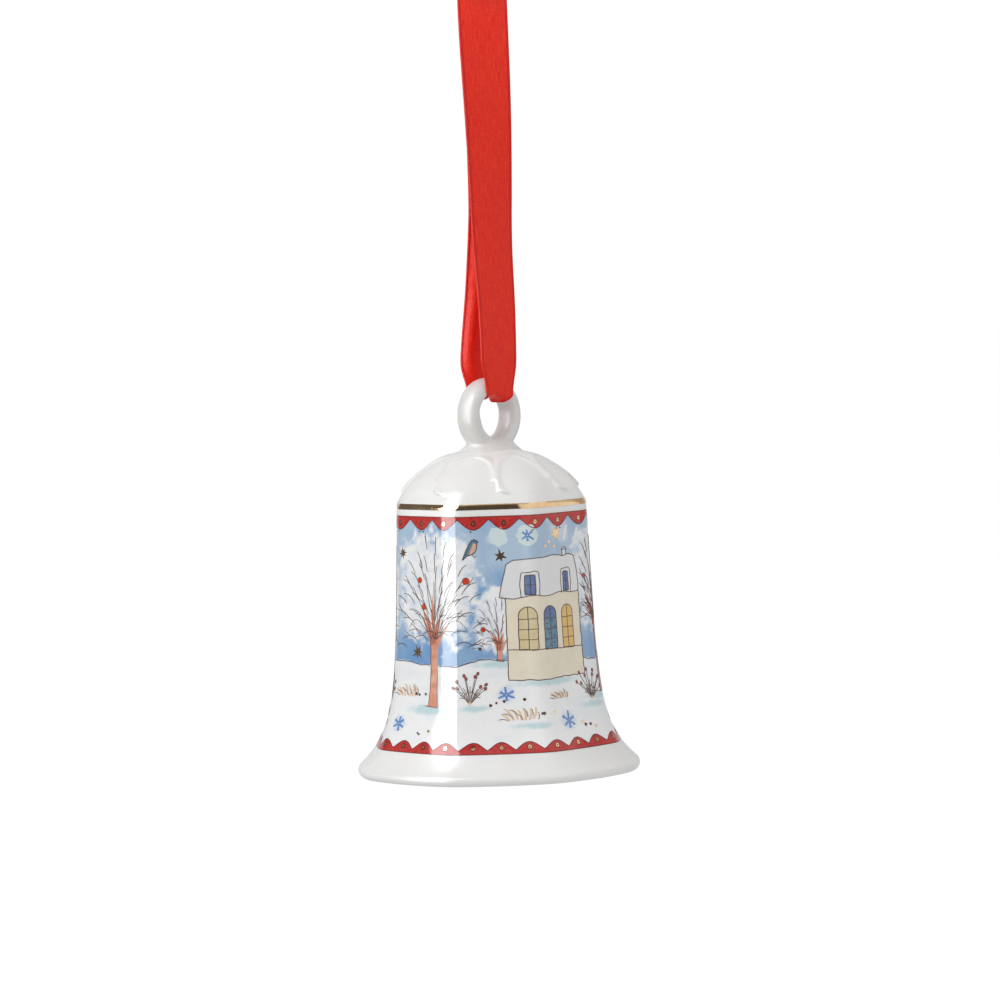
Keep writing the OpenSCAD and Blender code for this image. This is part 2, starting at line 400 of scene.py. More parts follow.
def satin(name):
    """Woven satin: lengthwise floats, a fine cross rib and denser selvedges.

    The mesh gives across and along in millimetres.
    """
    look = Look(name, Anisotropic=0.5, Sheen_Weight=0.03, Sheen_Roughness=0.4, Specular_IOR_Level=0.18)
    across = look.node("Attribute", attribute_name="across").outputs["Fac"]
    along = look.node("Attribute", attribute_name="along").outputs["Fac"]
    weave = look.node("CombineXYZ", {"X": across, "Y": along}).outputs["Vector"]
    threads = look.node("Mapping", {"Vector": weave, "Scale": (5.2, 0.35, 1.0)}).outputs["Vector"]
    floats = look.noise(1.0, detail=3, vector=threads)
    ribs = look.node("Mapping", {"Vector": weave, "Scale": (0.9, 2.6, 1.0)}).outputs["Vector"]
    picks = look.noise(1.0, detail=2, vector=ribs, distortion=0.8)
    base = look.mix(look.between(floats, 0, 1), rgb(240, 27, 15), rgb(255, 66, 34))
    base = look.mix(look.between(picks, 0, 0.4), base, rgb(214, 22, 19))
    off_middle = look.node("Math", {0: across}, operation="ABSOLUTE").outputs[0]
    share = look.node("Math", {0: off_middle, 1: 5.0}, operation="DIVIDE").outputs[0]
    selvedge = look.ramp(share, (0.0, (0, 0, 0, 1)), (0.87, (0, 0, 0, 1)), (0.9, (1, 1, 1, 1)),
                         (1.0, (0.2, 0.2, 0.2, 1)))
    look.set("Base Color", look.mix(selvedge, base, rgb(206, 24, 20)))
    look.set("Roughness", look.between(floats, 0.34, 0.46))
    height = look.node("Math", {0: floats, 1: picks}, operation="ADD").outputs[0]
    look.set("Normal", look.bump(height, 0.00012, 0.5))
    return look.material


# ---- camera: the photograph's angle, roll and framing, in degrees and millimetres ----
CAMERA_TURN = -46.3
CAMERA_RISE = 3.316
CAMERA_ROLL = -1.767
CAMERA_FAR = 893.8
AIM_DOWN = 17.03
AIM_RIGHT = 1.839
LENS = 159.03


def camera_axes():
    a, e, r = (math.radians(v) for v in (CAMERA_TURN, CAMERA_RISE, CAMERA_ROLL))
    back = np.array([math.sin(a) * math.cos(e), -math.cos(a) * math.cos(e), math.sin(e)])
    level = np.array([math.cos(a), math.sin(a), 0])
    up = np.cross(back, level)
    right = level * math.cos(r) + up * math.sin(r)
    return level, right, np.cross(back, right), back


def add_camera():
    level, right, up, back = camera_axes()
    aim = np.array([0, 0, EYE_Z - AIM_DOWN]) + level * AIM_RIGHT
    camera = bpy.data.objects.new("camera", bpy.data.cameras.new("camera"))
    bpy.context.scene.collection.objects.link(camera)
    camera.data.lens = LENS
    camera.data.sensor_width = 36
    camera.data.clip_start = 0.05
    camera.data.clip_end = 60
    place = (aim + back * CAMERA_FAR) * MM
    rows = [[right[i], up[i], back[i], place[i]] for i in range(3)]
    camera.matrix_world = Matrix(rows + [[0, 0, 0, 1]])
    bpy.context.scene.camera = camera


# ---- studio ----
BLACK = (0, 0, 0, 1)
WHITE = (1, 1, 1, 1)
CARD_FAR = 750
CARD_HEIGHT = 1500
FLOOR_DROP = 260
FLOOR_R = 16000
BACKDROP_R = 18000


def studio_direction(turn, rise=0.0):
    """Unit vector from the bell, turn degrees to the camera's right of it and rise degrees up."""
    a, e = math.radians(CAMERA_TURN + turn), math.radians(rise)
    return Vector((math.sin(a) * math.cos(e), -math.cos(a) * math.cos(e), math.sin(e)))


def area_light(name, turn, rise, far, width, height, radiance, hidden):
    """A softbox that looks at the bell, in metres. Radiance is what a mirror shows of it."""
    light = bpy.data.lights.new(name, "AREA")
    light.shape = "RECTANGLE"
    light.size, light.size_y = width, height
    light.energy = radiance * math.pi * width * height
    lamp = bpy.data.objects.new(name, light)
    bpy.context.scene.collection.objects.link(lamp)
    middle = Vector((0, 0, (RIM_Z + CROWN_Z) / 2 * MM))
    away = studio_direction(turn, rise)
    lamp.location = middle + away * far
    lamp.rotation_euler = away.to_track_quat("Z", "Y").to_euler()
    hide_from(lamp, "camera", hidden)


def hide_from(thing, *rays):
    for ray in rays:
        setattr(thing, "visible_" + ray, False)


def glowing(name, shade, strength=1.0):
    """A look that only gives off light."""
    return Look(name, Base_Color=BLACK, Specular_IOR_Level=0.0, Emission_Color=shade,
                Emission_Strength=strength).material


def studio_card(name, turns, shade):
    """A curved card round part of the bell, which only reflections see."""
    steps = 24
    angles = np.linspace(turns[0], turns[1], steps + 1)
    middle = (RIM_Z + CROWN_Z) / 2
    points = [np.array(studio_direction(a)) * CARD_FAR + np.array([0, 0, middle + side * CARD_HEIGHT / 2])
              for side in (-1, 1) for a in angles]
    card = make_mesh(name, points, grid_faces(2, steps + 1), glowing("card_" + name, shade))
    hide_from(card, "camera", "diffuse", "shadow")


def disc(name, z, radius, look):
    steps = 96
    ring = [(radius * math.cos(a), radius * math.sin(a), z) for a in ring_angles(steps)]
    return make_mesh(name, [(0, 0, z)] + ring, fan(0, 1, steps), look)


def add_studio():
    world = bpy.data.worlds.new("world")
    bpy.context.scene.world = world
    world.use_nodes = True
    background = world.node_tree.nodes["Background"]
    background.inputs["Color"].default_value = WHITE
    background.inputs["Strength"].default_value = 0.6
    floor_look = Look("floor", Roughness=0.9, Specular_IOR_Level=0.0, Base_Color=(0.86, 0.86, 0.86, 1),
                      Emission_Color=WHITE, Emission_Strength=0.5)
    floor = disc("floor", RIM_Z - FLOOR_DROP, FLOOR_R, floor_look.material)
    rows, columns = 24, 64
    points = []
    for rise in np.radians(-20 + 110 * np.arange(rows + 1) / rows):
        for turn in ring_angles(columns):
            level = BACKDROP_R * math.cos(rise)
            points.append((level * math.cos(turn), level * math.sin(turn), BACKDROP_R * math.sin(rise)))
    faces = grid_faces(rows + 1, columns, True)
    backdrop = make_mesh("backdrop", points, faces, glowing("backdrop", WHITE, 1.02))
    for piece in (floor, backdrop):
        hide_from(piece, "diffuse", "glossy", "transmission", "shadow")
    # turn and rise in degrees, distance, width and height in metres, radiance
    area_light("key_strip", -62, 25, 0.55, 0.5, 0.8, 8, hidden="diffuse")
    area_light("key_soft", -50, 40, 0.8, 0.5, 0.5, 3.3, hidden="glossy")
    area_light("fill", 80, 20, 0.8, 0.5, 0.6, 0.4, hidden="glossy")
    studio_card("card_front", (-66, 8), (0.085, 0.085, 0.09, 1))
    studio_card("card_left", (-140, -80), (0.15, 0.15, 0.16, 1))
    studio_card("card_right", (10, 100), (0.9, 0.89, 0.88, 1))
    studio_card("card_far_right", (102, 140), (0.46, 0.42, 0.42, 1))
    bpy.context.scene.view_settings.view_transform = "Standard"


add_camera()
add_studio()


# ---- ribbon: one length, down the front, through the eye and up the back ----
RIBBON_W = 10.0
RIBBON_T = 0.28
STRAND_TURN = 48.0
GAP_LOOP = LOOP_DEPTH / 2 + 0.6
GAP_KNOT = 0.375
GAP_FADE = 36.0
DRIFT = np.array([0.9, -0.95])
DRIFT_FADE = 38.0
EYE_R = LOOP_R - LOOP_WALL
INTO_KNOT = 0.6
HUG = 0.22
GATHER = (-32.0, 47.0)
PLEAT = 0.2
CURL = 1.8
BOW = np.array([1.0, 0.3])
ACROSS = np.linspace(-RIBBON_W / 2, RIBBON_W / 2, 41)


def strand_rows(side, ups):
    """Rows of a strand going up from its foot. Side 1 is the front strand, -1 the back one."""
    rows = []
    length = STRAND_TOP - STRAND_Z
    for up in ups:
        turn = -math.radians(STRAND_TURN * max(up / length, 0) ** 1.8)
        gap = GAP_KNOT + (GAP_LOOP - GAP_KNOT) * (1 - smooth(up / GAP_FADE))
        out = np.array([math.sin(turn), -math.cos(turn)])
        along = np.array([math.cos(turn), math.sin(turn)])
        middle = side * gap * out + DRIFT * smooth(up / DRIFT_FADE)
        middle += BOW * smooth(up / 20) * smooth((length - up) / 45)
        cup = 0.25 * math.sin(up / 9 + side) * (ACROSS / 5) ** 2 * smooth((length - up) / 8)
        if side < 0:
            cup += CURL * smooth((-ACROSS - 0.5) / 4.5) ** 1.5 * smooth((length - up) / 25)
        narrow = 1 - 0.6 * smooth((up - length + 2.2) / (2.2 + INTO_KNOT))
        spread = narrow * ACROSS
        if side < 0:
            tuck = 0.24 * smooth((length - up) / 25) + 0.2 * (1 - smooth((up - 5) / 28))
            spread = spread * (1 - tuck * smooth((-ACROSS - 0.5) / 4.5))
        flat = middle + spread[:, None] * along + side * cup[:, None] * out
        rows.append(np.column_stack([flat, np.full(len(ACROSS), STRAND_Z + up)]))
    return np.array(rows)


def saddle_rows(side):
    """Rows from the middle of the eye round its edge and up to the strand's foot."""
    share = (ACROSS + RIBBON_W / 2) / RIBBON_W
    phi = np.radians(GATHER[0] + (GATHER[1] - GATHER[0]) * share)
    pleat = PLEAT * (0.5 - 0.5 * np.cos(2 * math.pi * 2.5 * share ** 1.15))
    corner = LOOP_WALL / 2
    bend = corner + HUG
    half_straight = LOOP_DEPTH / 2 - corner
    rows = []
    for y in np.linspace(0, half_straight, 4)[:-1]:
        rows.append((np.full(len(phi), y), EYE_R - HUG - pleat))
    for psi in np.linspace(0, math.pi / 2, 9):
        rows.append((half_straight + (bend + pleat * 0.8) * math.sin(psi),
                     EYE_R + corner - (bend + pleat) * math.cos(psi)))
    wrapped = [np.column_stack([r * np.sin(phi), -side * y, EYE_Z + r * np.cos(phi)]) for y, r in rows]
    foot = strand_rows(side, [5.0])[0]
    last = wrapped[-1]
    for s in np.linspace(0, 1, 15)[1:-1]:
        ease = smooth(s)
        wrapped.append(np.column_stack([last[:, 0] + (foot[:, 0] - last[:, 0]) * ease,
                                        last[:, 1] + (foot[:, 1] - last[:, 1]) * smooth(s * 1.2),
                                        last[:, 2] + (foot[:, 2] - last[:, 2]) * s]))
    return np.array(wrapped)


def closed_strip(name, rows, thickness, look, across, along):
    """A closed band from a grid of points: rows along it, columns across it."""
    m, n = rows.shape[:2]
    normal = unit(np.cross(np.gradient(rows, axis=1), np.gradient(rows, axis=0)))
    half = thickness / 2
    points = np.concatenate([(rows + normal * half).reshape(-1, 3), (rows - normal * half).reshape(-1, 3)])
    front = grid_faces(m, n)
    back = [tuple(i + m * n for i in reversed(f)) for f in front]
    rim = [i for i in range(n)] + [j * n + n - 1 for j in range(1, m)]
    rim += [(m - 1) * n + i for i in range(n - 2, -1, -1)] + [j * n for j in range(m - 2, 0, -1)]
    sides = [(b, a, a + m * n, b + m * n) for a, b in zip(rim, rim[1:] + rim[:1])]
    piece = make_mesh(name, points, front + back + sides, look)
    point_value(piece, "across", np.tile(np.broadcast_to(across, (m, n)).ravel(), 2))
    point_value(piece, "along", np.tile(np.broadcast_to(along[:, None], (m, n)).ravel(), 2))
    return piece


def add_ribbon(look):
    ups = np.concatenate([np.linspace(5, 30, 40), np.linspace(30.7, STRAND_TOP - STRAND_Z + INTO_KNOT, 72)])
    front = np.concatenate([saddle_rows(1), strand_rows(1, ups)])
    back = np.concatenate([saddle_rows(-1), strand_rows(-1, ups)])
    rows = np.concatenate([front[::-1], back[1:]])
    along = run_along(rows[:, len(ACROSS) // 2])
    thick = np.full(len(ACROSS), RIBBON_T)
    selvedge = np.abs(ACROSS) > RIBBON_W / 2 - 0.55
    thick[selvedge] = RIBBON_T * 1.5
    ribbon = closed_strip("satin_ribbon", rows, thick[None, :, None], look, ACROSS, along)
    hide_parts("ribbon_front", "ribbon_back", "ribbon_bend")
    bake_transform(ribbon)
    return ribbon, along[-1]


ribbon_look = satin("red_satin")
ribbon, ribbon_length = add_ribbon(ribbon_look)


# ---- porcelain: shell and hanging ring ----
COLUMNS = 384


def add_shell(look):
    a = np.arange(COLUMNS) * 360 / COLUMNS
    rings = []
    inside_t = np.concatenate([np.linspace(0, 1, 26)[1:], np.linspace(1, 2, 26)[1:-1]])[::-1]
    for t in inside_t:
        half, u = outline(t) + WALL * inward(t)
        rings.append(around(a, half * section(a, t), u))
    start, turn_in = outline(0.0), inward(0.0)
    down = np.array([-turn_in[1], turn_in[0]])
    centre = start + WALL / 2 * turn_in
    low = centre[1] - WALL / 2 + FLAT_FOOT
    for phi in np.linspace(math.pi, 0, 17):
        half, u = centre - WALL / 2 * math.cos(phi) * turn_in + WALL / 2 * math.sin(phi) * down
        rings.append(around(a, half * section(a, 0.0), max(u, low)))
    for t in np.concatenate([np.linspace(0, 1, 61)[1:], np.linspace(1, 2, 121)[1:-1]]):
        rings.append(wall(a, t))
    rings = np.array(rings)
    poles = np.array([[0, 0, CROWN_Z - WALL], [0, 0, CROWN_Z]])
    points = np.concatenate([rings.reshape(-1, 3), poles])
    faces = grid_faces(len(rings), COLUMNS, True)
    pole, last_ring = len(points) - 2, (len(rings) - 1) * COLUMNS
    faces += turned_over(fan(pole, 0, COLUMNS)) + fan(pole + 1, last_ring, COLUMNS)
    shell = make_mesh("porcelain_bell", points, faces, look)
    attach(shell, "bell")
    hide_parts("bell_shell")


def superellipse(wide, deep, power, steps):
    """A closed outline between an ellipse and a rectangle."""
    a = ring_angles(steps)
    c, s = np.cos(a), np.sin(a)
    r = (np.abs(c) ** power + np.abs(s) ** power) ** (-1 / power)
    return np.column_stack([wide * r * c, deep * r * s])


def fuse(name, parts, look, voxel=0.16, rounds=26):
    """One smooth casting out of closed shells that overlap, in millimetres."""
    points, faces = [], []
    for part_points, part_faces in parts:
        start = len(points)
        points += list(part_points)
        faces += [tuple(i + start for i in f) for f in part_faces]
    rough_mesh = bpy.data.meshes.new(name)
    rough_mesh.from_pydata([tuple(map(float, p)) for p in points], [], faces)
    rough = bpy.data.objects.new(name + "_rough", rough_mesh)
    bpy.context.scene.collection.objects.link(rough)
    remesh = rough.modifiers.new("remesh", "REMESH")
    remesh.mode = "VOXEL"
    remesh.voxel_size = voxel
    smoother = rough.modifiers.new("smooth", "SMOOTH")
    smoother.iterations = rounds
    mesh = bpy.data.meshes.new_from_object(rough.evaluated_get(bpy.context.evaluated_depsgraph_get()))
    bpy.data.objects.remove(rough)
    bpy.data.meshes.remove(rough_mesh)
    mesh.name = name
    mesh.transform(Matrix.Diagonal((MM, MM, MM, 1)))
    mesh.polygons.foreach_set("use_smooth", np.ones(len(mesh.polygons), bool))
    mesh.materials.clear()
    mesh.materials.append(look)
    piece = bpy.data.objects.new(name, mesh)
    bpy.context.scene.collection.objects.link(piece)
    return piece


# height above the crown, half width across the ring, half depth
NECK_LEVELS = [(1.5, 4.95, 2.8), (1.1, 5.15, 3.4), (0.6, 5.4, 4.0), (0.2, 5.65, 4.4), (-0.1, 5.9, 4.8),
               (-0.4, 6.3, 5.2), (-0.8, 6.7, 5.6), (-1.4, 6.9, 5.9), (-2.2, 7.0, 6.0)]
NECK_OFF = 0.3


def add_hanging_ring(look):
    """The ring and its neck, which flares into the crown."""
    turns, count = 120, 40
    middle = LOOP_R - LOOP_WALL / 2
    band = superellipse(LOOP_WALL / 2 + 0.04, LOOP_DEPTH / 2 + 0.04, 2.7, count)
    ring = []
    for phi in ring_angles(turns):
        wider = 0.085 * middle * max(0, math.sin(phi))
        thicker = 0.08 * math.sin(phi) ** 2 + 0.5 * max(0, math.cos(phi)) ** 1.5
        point_down = 0.35 * math.exp(-((phi - math.pi) / 0.3) ** 2)
        low_share = smooth((math.degrees(min(phi, 2 * math.pi - phi)) - 72) / 30)
        point_down -= low_share * (0.15 if phi < math.pi else 0.5)
        for radial, y in band:
            r = middle + wider + radial + (radial * thicker if radial > 0 else point_down)
            ring.append((r * math.sin(phi), y, EYE_Z + r * math.cos(phi)))
    ring_faces = grid_faces(turns, count, True, True)
    neck = []
    for height, wide, deep in NECK_LEVELS:
        neck += [(x + NECK_OFF, y, CROWN_Z + height) for x, y in superellipse(wide, deep, 2.3, count)]
    neck_faces = turned_over(grid_faces(len(NECK_LEVELS), count, True))
    neck_faces += [tuple(range(count)), tuple(range(len(neck) - 1, len(neck) - count - 1, -1))]
    piece = fuse("hanging_ring", [(ring, ring_faces), (neck, neck_faces)], look)
    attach(piece, "bell")
    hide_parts("hanger_loop", "loop_foot")
    return piece


white_porcelain = porcelain("porcelain_glaze", 0.2, 0.28, shine=0.35)
add_shell(white_porcelain)
# The ring is the bell's porcelain with a rougher gloss. Its whites are set darker than the shell's, which is
# painted shade on the ring.
ring_glaze_painted_shade = porcelain("ring_glaze_painted_shade", 0.24, 0.34, shine=0.3, white=rgb(228, 228, 227),
                       warm=rgb(226, 224, 221))
hanging_ring = add_hanging_ring(ring_glaze_painted_shade)

# ---- the clapper's CAD nodes keep their shapes ----
brass_look = brass("brass_wire")
for node_name, look in (("clapper_lug", white_porcelain), ("clapper_ball", white_porcelain),
                        ("lug_ring", brass_look), ("clapper_wire", brass_look), ("crimp_bead", brass_look)):
    for material_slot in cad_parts[node_name].material_slots:
        material_slot.link = "OBJECT"
        material_slot.material = look


# ---- knot and tails ----
def knot_band(name, wide, deep, height, tilt, turn, rise, look):
    """One turn of ribbon round the knot: a soft, creased ring that leans to one side."""
    c, s = math.cos(turn), math.sin(turn)
    turns, count = 128, 36
    points = []
    for a in ring_angles(turns):
        for psi in ring_angles(count):
            puff = 0.85 * max(math.cos(psi), -0.35) * abs(math.cos(psi)) ** 0.4
            crease = 0.13 * math.sin(9 * math.sin(psi) + 2 * math.sin(a)) * (1 if math.cos(psi) > 0 else 0)
            pinch = 1 - 0.26 * math.cos(a - 0.1) ** 4
            r = puff + crease * math.cos(psi)
            x, y = (wide + r) * math.cos(a), (deep + r) * math.sin(a)
            z = height / 2 * pinch * math.sin(psi) + tilt * math.cos(a) + rise
            points.append((c * x - s * y, s * x + c * y, z))
    band = make_mesh(name, points, turned_over(grid_faces(turns, count, True, True)), look)
    mesh_points = np.array(points)
    point_value(band, "across", mesh_points[:, 2])
    point_value(band, "along", np.arctan2(mesh_points[:, 1], mesh_points[:, 0]) * wide)
    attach(band, "knot")
    return band


def add_knot_core(turn, look):
    """The crossed cloth that fills the middle of the knot."""
    wide, deep, tall, count, layers = 4.9, 3.1, 2.2, 72, 21
    c, s = math.cos(turn), math.sin(turn)
    points = [(0, 0, -tall)]
    for psi in np.linspace(-math.pi / 2, math.pi / 2, layers + 2)[1:-1]:
        z = tall * math.sin(psi)
        for a in ring_angles(count):
            r = math.cos(psi) ** 0.5 * (1 + 0.05 * math.sin(7 * math.sin(a) + 2.5 * z))
            x, y = wide * r * math.cos(a), deep * r * math.sin(a)
            points.append((c * x - s * y, s * x + c * y, z + 0.25 * math.sin(1.7 * x + 0.8)))
    points.append((0, 0, tall))
    last = len(points) - 1
    faces = [tuple(i + 1 for i in f) for f in grid_faces(layers, count, True)]
    faces += turned_over(fan(0, 1, count)) + fan(last, last - count, count)
    core = make_mesh("knot_core", points, faces, look)
    point_value(core, "across", [p[0] for p in points])
    point_value(core, "along", [p[1] for p in points])
    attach(core, "knot")


def tail_rows(side, steps=40):
    """A free end that leaves the knot gathered, spreads, bends over a little and is cut on the slant."""
    lean = math.radians(14)
    turn = -math.radians(STRAND_TURN)
    full = TAILS_TOP - KNOT_TOP
    rows = []
    for s in np.linspace(0, 1, steps):
        reach = s * (full / math.cos(lean) - 1.3 - 1.2 * side * ACROSS / 5)
        wide = 0.6 + 0.4 * smooth(s / 0.4)
        fold = 1.5 * (1 - smooth(s / 0.45)) * (ACROSS / 5) ** 2
        x = wide * ACROSS + 0.5 * side * math.sin(math.pi * s)
        y = side * (reach * math.sin(lean) + 0.9 * math.sin(2.6 * s) - fold)
        z = KNOT_TOP - 1.4 + reach * math.cos(lean) + 0 * ACROSS
        rows.append(np.column_stack([math.cos(turn) * x - math.sin(turn) * y,
                                     math.sin(turn) * x + math.cos(turn) * y + side * 0.9, z]))
    return np.array(rows)


def add_knot(look):
    turn = -math.radians(STRAND_TURN)
    # half width and half depth of its middle line, height, tilt, turn, rise
    low = knot_band("knot_lower_band", 5.0, 3.2, 5.2, 0.3, turn, -1.1, look)
    high = knot_band("knot_upper_band", 4.5, 3.2, 4.8, -1.1, turn + 0.5, 1.3, look)
    add_knot_core(turn, look)
    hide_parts("ribbon_knot")
    for side, name in ((1, "front_tail"), (-1, "back_tail")):
        rows = tail_rows(side)
        along = run_along(rows[:, len(ACROSS) // 2])
        tail = closed_strip(name, rows, np.full((1, len(ACROSS), 1), RIBBON_T), look, ACROSS, along)
        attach(tail, "knot")
    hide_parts("ribbon_tails")
    return low, high


knot_low, knot_high = add_knot(ribbon_look)


# ---- the fired-on picture ----
def resample(path, step, closed=False):
    path = np.asarray(path, float)
    if closed:
        path = np.vstack([path, path[:1]])
    run = run_along(path)
    count = max(int(run[-1] / step), 2) + 1
    at = np.linspace(0, run[-1], count)
    made = np.column_stack([np.interp(at, run, path[:, i]) for i in (0, 1)])
    return made[:-1] if closed else made


def finer(outline_points, step):
    """A closed outline with points added along its sides, and its corners kept."""
    made = []
    for a, b in zip(outline_points, np.roll(outline_points, -1, axis=0)):
        parts = max(int(round(math.dist(a, b) / step)), 1)
        made += [a + (b - a) * k / parts for k in range(parts)]
    return np.array(made)


def curve(*corners, count=14):
    """A smooth line pulled by its inner corners, as a Bezier curve."""
    points = [np.outer(np.ones(count), c) for c in corners]
    s = np.linspace(0, 1, count)[:, None]
    while len(points) > 1:
        points = [a * (1 - s) + b * s for a, b in zip(points, points[1:])]
    return points[0]


def hand(path, size, seed, step=0.4, closed=False):
    """The line as an unsteady hand draws it."""
    path = resample(path, step, closed)
    order = np.arange(len(path))
    shift = np.array([[noise.noise((i * step / 1.6, seed * 1.7, side)) for side in (0.3, 9.1)]
                      for i in order])
    if closed:
        shift *= np.clip(np.minimum(order, order[::-1]) / 6, 0, 1)[:, None]
    return path + size * shift


def inside(outline_points, points):
    """Which points lie in a closed outline."""
    x, y = points[:, 0], points[:, 1]
    hit = np.zeros(len(points), bool)
    for (x0, y0), (x1, y1) in zip(outline_points, np.roll(outline_points, -1, axis=0)):
        crosses = (y0 > y) != (y1 > y)
        hit ^= crosses & (x < x0 + (y - y0) * (x1 - x0) / (y1 - y0 if y1 != y0 else 1))
    return hit


EVEN = (1, 1)                                     # ends of a stroke that keeps its width


class Film:
    """A thin fired-on layer: flat shapes on the unrolled wall, closed by edges and a back."""

    def __init__(self, name, look, lift, slot="decorated_porcelain"):
        self.name, self.look, self.lift, self.slot = name, look, lift, slot
        self.points, self.faces, self.count = [], [], 0

    def add(self, points, faces):
        points = np.asarray(points, float)
        for f in faces:
            x, y = points[list(f)].T
            area = np.dot(x, np.roll(y, -1)) - np.dot(y, np.roll(x, -1))
            order = f if area > 0 else f[::-1]
            self.faces.append(tuple(int(i) + self.count for i in order))
        self.points.append(points)
        self.count += len(points)

    def stroke(self, path, width, ends=(0.4, 0.4)):
        path = resample(path, 0.4)
        s = np.linspace(0, 1, len(path))
        w = width / 2 * np.interp(s, [0, 0.25, 0.75, 1], [ends[0], 1, 1, ends[1]])[:, None]
        d = unit(np.gradient(path, axis=0))
        side = np.column_stack([-d[:, 1], d[:, 0]])
        self.add(np.vstack([path - side * w, path + side * w]), grid_faces(2, len(path)))

    def contour(self, outline_points, width):
        """A line of one width right round a closed outline."""
        self.stroke(np.vstack([outline_points, outline_points[:1]]), width, EVEN)

    def shape(self, outline_points, grid=0.5, step=0.35):
        edge = finer(np.asarray(outline_points, float), step)
        low, high = edge.min(0), edge.max(0)
        gx, gy = np.meshgrid(*(np.arange(low[i] + grid / 2, high[i], grid) for i in (0, 1)))
        filler = np.column_stack([gx.ravel(), gy.ravel()])
        if len(filler):
            filler = filler[inside(edge, filler)]
        points = [Vector(p) for p in np.vstack([edge, filler])]
        border = [(i, (i + 1) % len(edge)) for i in range(len(edge))]
        made, _, faces, *_ = delaunay_2d_cdt(points, border, [], 1, 1e-5)
        used = sorted({i for f in faces for i in f})
        place = {old: new for new, old in enumerate(used)}
        self.add([made[i][:] for i in used], [tuple(place[i] for i in f) for f in faces])

    def dot(self, x, u, r, seed=0, wide=1.0):
        a = ring_angles(12)
        wave = 1 + 0.08 * np.sin(3 * a + seed)
        ring = np.column_stack([x + r * wide * wave * np.cos(a), u + r * wave * np.sin(a)])
        self.add(np.vstack([[[x, u]], ring]), fan(0, 1, len(a)))

    def band(self, low, high, columns, rows):
        """A band right round the bell between two curves of the column's share of the way round."""
        share = np.arange(columns) / columns
        heights = np.linspace(low(share), high(share), rows + 1)
        points = np.stack([np.broadcast_to(share * ROUND, heights.shape), heights], -1).reshape(-1, 2)
        start = self.count
        self.points.append(points)
        self.faces += [tuple(i + start for i in f) for f in grid_faces(rows + 1, columns, True)]
        self.count += len(points)

    def build(self):
        flat = np.concatenate(self.points)
        top = on_wall(flat[:, 0], flat[:, 1], self.lift)
        back = on_wall(flat[:, 0], flat[:, 1], -0.02)
        n = len(flat)
        edges = {}
        for f in self.faces:
            for a, b in zip(f, f[1:] + f[:1]):
                edges[(a, b)] = True
        sides = [(b, a, a + n, b + n) for a, b in edges if (b, a) not in edges]
        faces = self.faces + [tuple(i + n for i in f) for f in turned_over(self.faces)] + sides
        flat_faces = [False] * (2 * len(self.faces)) + [True] * len(sides)
        piece = make_mesh(self.name, np.concatenate([top, back]), faces, self.look, flat_faces)
        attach(piece, "bell")
        return piece


gold_look = gilding("gilding")
ink_look = enamel("ink_enamel", rgb(78, 56, 52), rgb(116, 84, 74))
films = {}


def film(name, look, lift, slot="decorated_porcelain"):
    films[name] = Film(name, look, lift, slot)
    return films[name]


def enamel_film(name, lift, colour, pale, *grain):
    """A film of its own enamel: its two colours are from 0 to 255."""
    return film(name, enamel(name + "_enamel", rgb(*colour), rgb(*pale), *grain), lift)


red = enamel_film("red_borders", 0.03, (186, 42, 42), (206, 76, 68))
bark = enamel_film("bark", 0.03, (218, 142, 112), (238, 190, 168), 700)
dark_bark = enamel_film("dark_bark", 0.03, (150, 72, 62), (184, 112, 96))
cream = enamel_film("house_walls", 0.03, (241, 232, 212), (234, 222, 198), 500)
roof = enamel_film("snowy_roofs", 0.034, (232, 232, 233), (238, 238, 240), 500)
frost = enamel_film("frost", 0.036, (246, 246, 247), (238, 240, 245))
aqua = enamel_film("snow_discs", 0.036, (212, 230, 236), (226, 234, 228))
root_red = enamel_film("fork_shading", 0.04, (186, 92, 66), (206, 120, 92))
lit = enamel_film("lit_windows", 0.042, (224, 208, 166), (212, 194, 148))
glow = enamel_film("glowing_windows", 0.042, (236, 196, 124), (228, 184, 108))
dusk = enamel_film("dusk_windows", 0.042, (88, 110, 162), (112, 140, 182))
teal = enamel_film("teal_panes", 0.046, (76, 122, 152), (128, 164, 180))
blue = enamel_film("blue_flakes", 0.046, (98, 136, 200), (134, 168, 218))
straw = enamel_film("straw", 0.04, (230, 200, 168), (240, 218, 194))
berry = enamel_film("berries", 0.046, (206, 66, 44), (222, 92, 62))
hip = enamel_film("rose_hips", 0.046, (158, 78, 70), (192, 112, 96))
breast = enamel_film("bird_breasts", 0.048, (226, 170, 142), (236, 190, 164))
edging = enamel_film("border_edging", 0.05, (104, 40, 42), (128, 52, 48))
gilt = film("gold_marks", gold_look, 0.055, "gilding")
heart = enamel_film("drop_hearts", 0.06, (190, 84, 52), (206, 112, 72))
ink = film("ink_lines", ink_look, 0.062)
ground_ink = film("ground_ink_lines", ink_look, 0.062)


def turned(points, x, u, turn=0.0, size=1.0):
    """Points drawn round 0, 0, turned in degrees, sized and put at x, u."""
    c, s = math.cos(math.radians(turn)) * size, math.sin(math.radians(turn)) * size
    points = np.asarray(points, float)
    px, pu = points.T
    return np.column_stack([x + c * px - s * pu, u + s * px + c * pu])


def star(x, u, r, points=8, turn=0.0):
    a = np.radians(90 + turn) + np.arange(2 * points) * math.pi / points
    reach = np.where(np.arange(2 * points) % 4 == 0, r, r * 0.8)
    reach[1::2] = r * 0.38
    gilt.shape(np.column_stack([x + reach * np.cos(a), u + reach * np.sin(a)]), 0.5, 0.3)


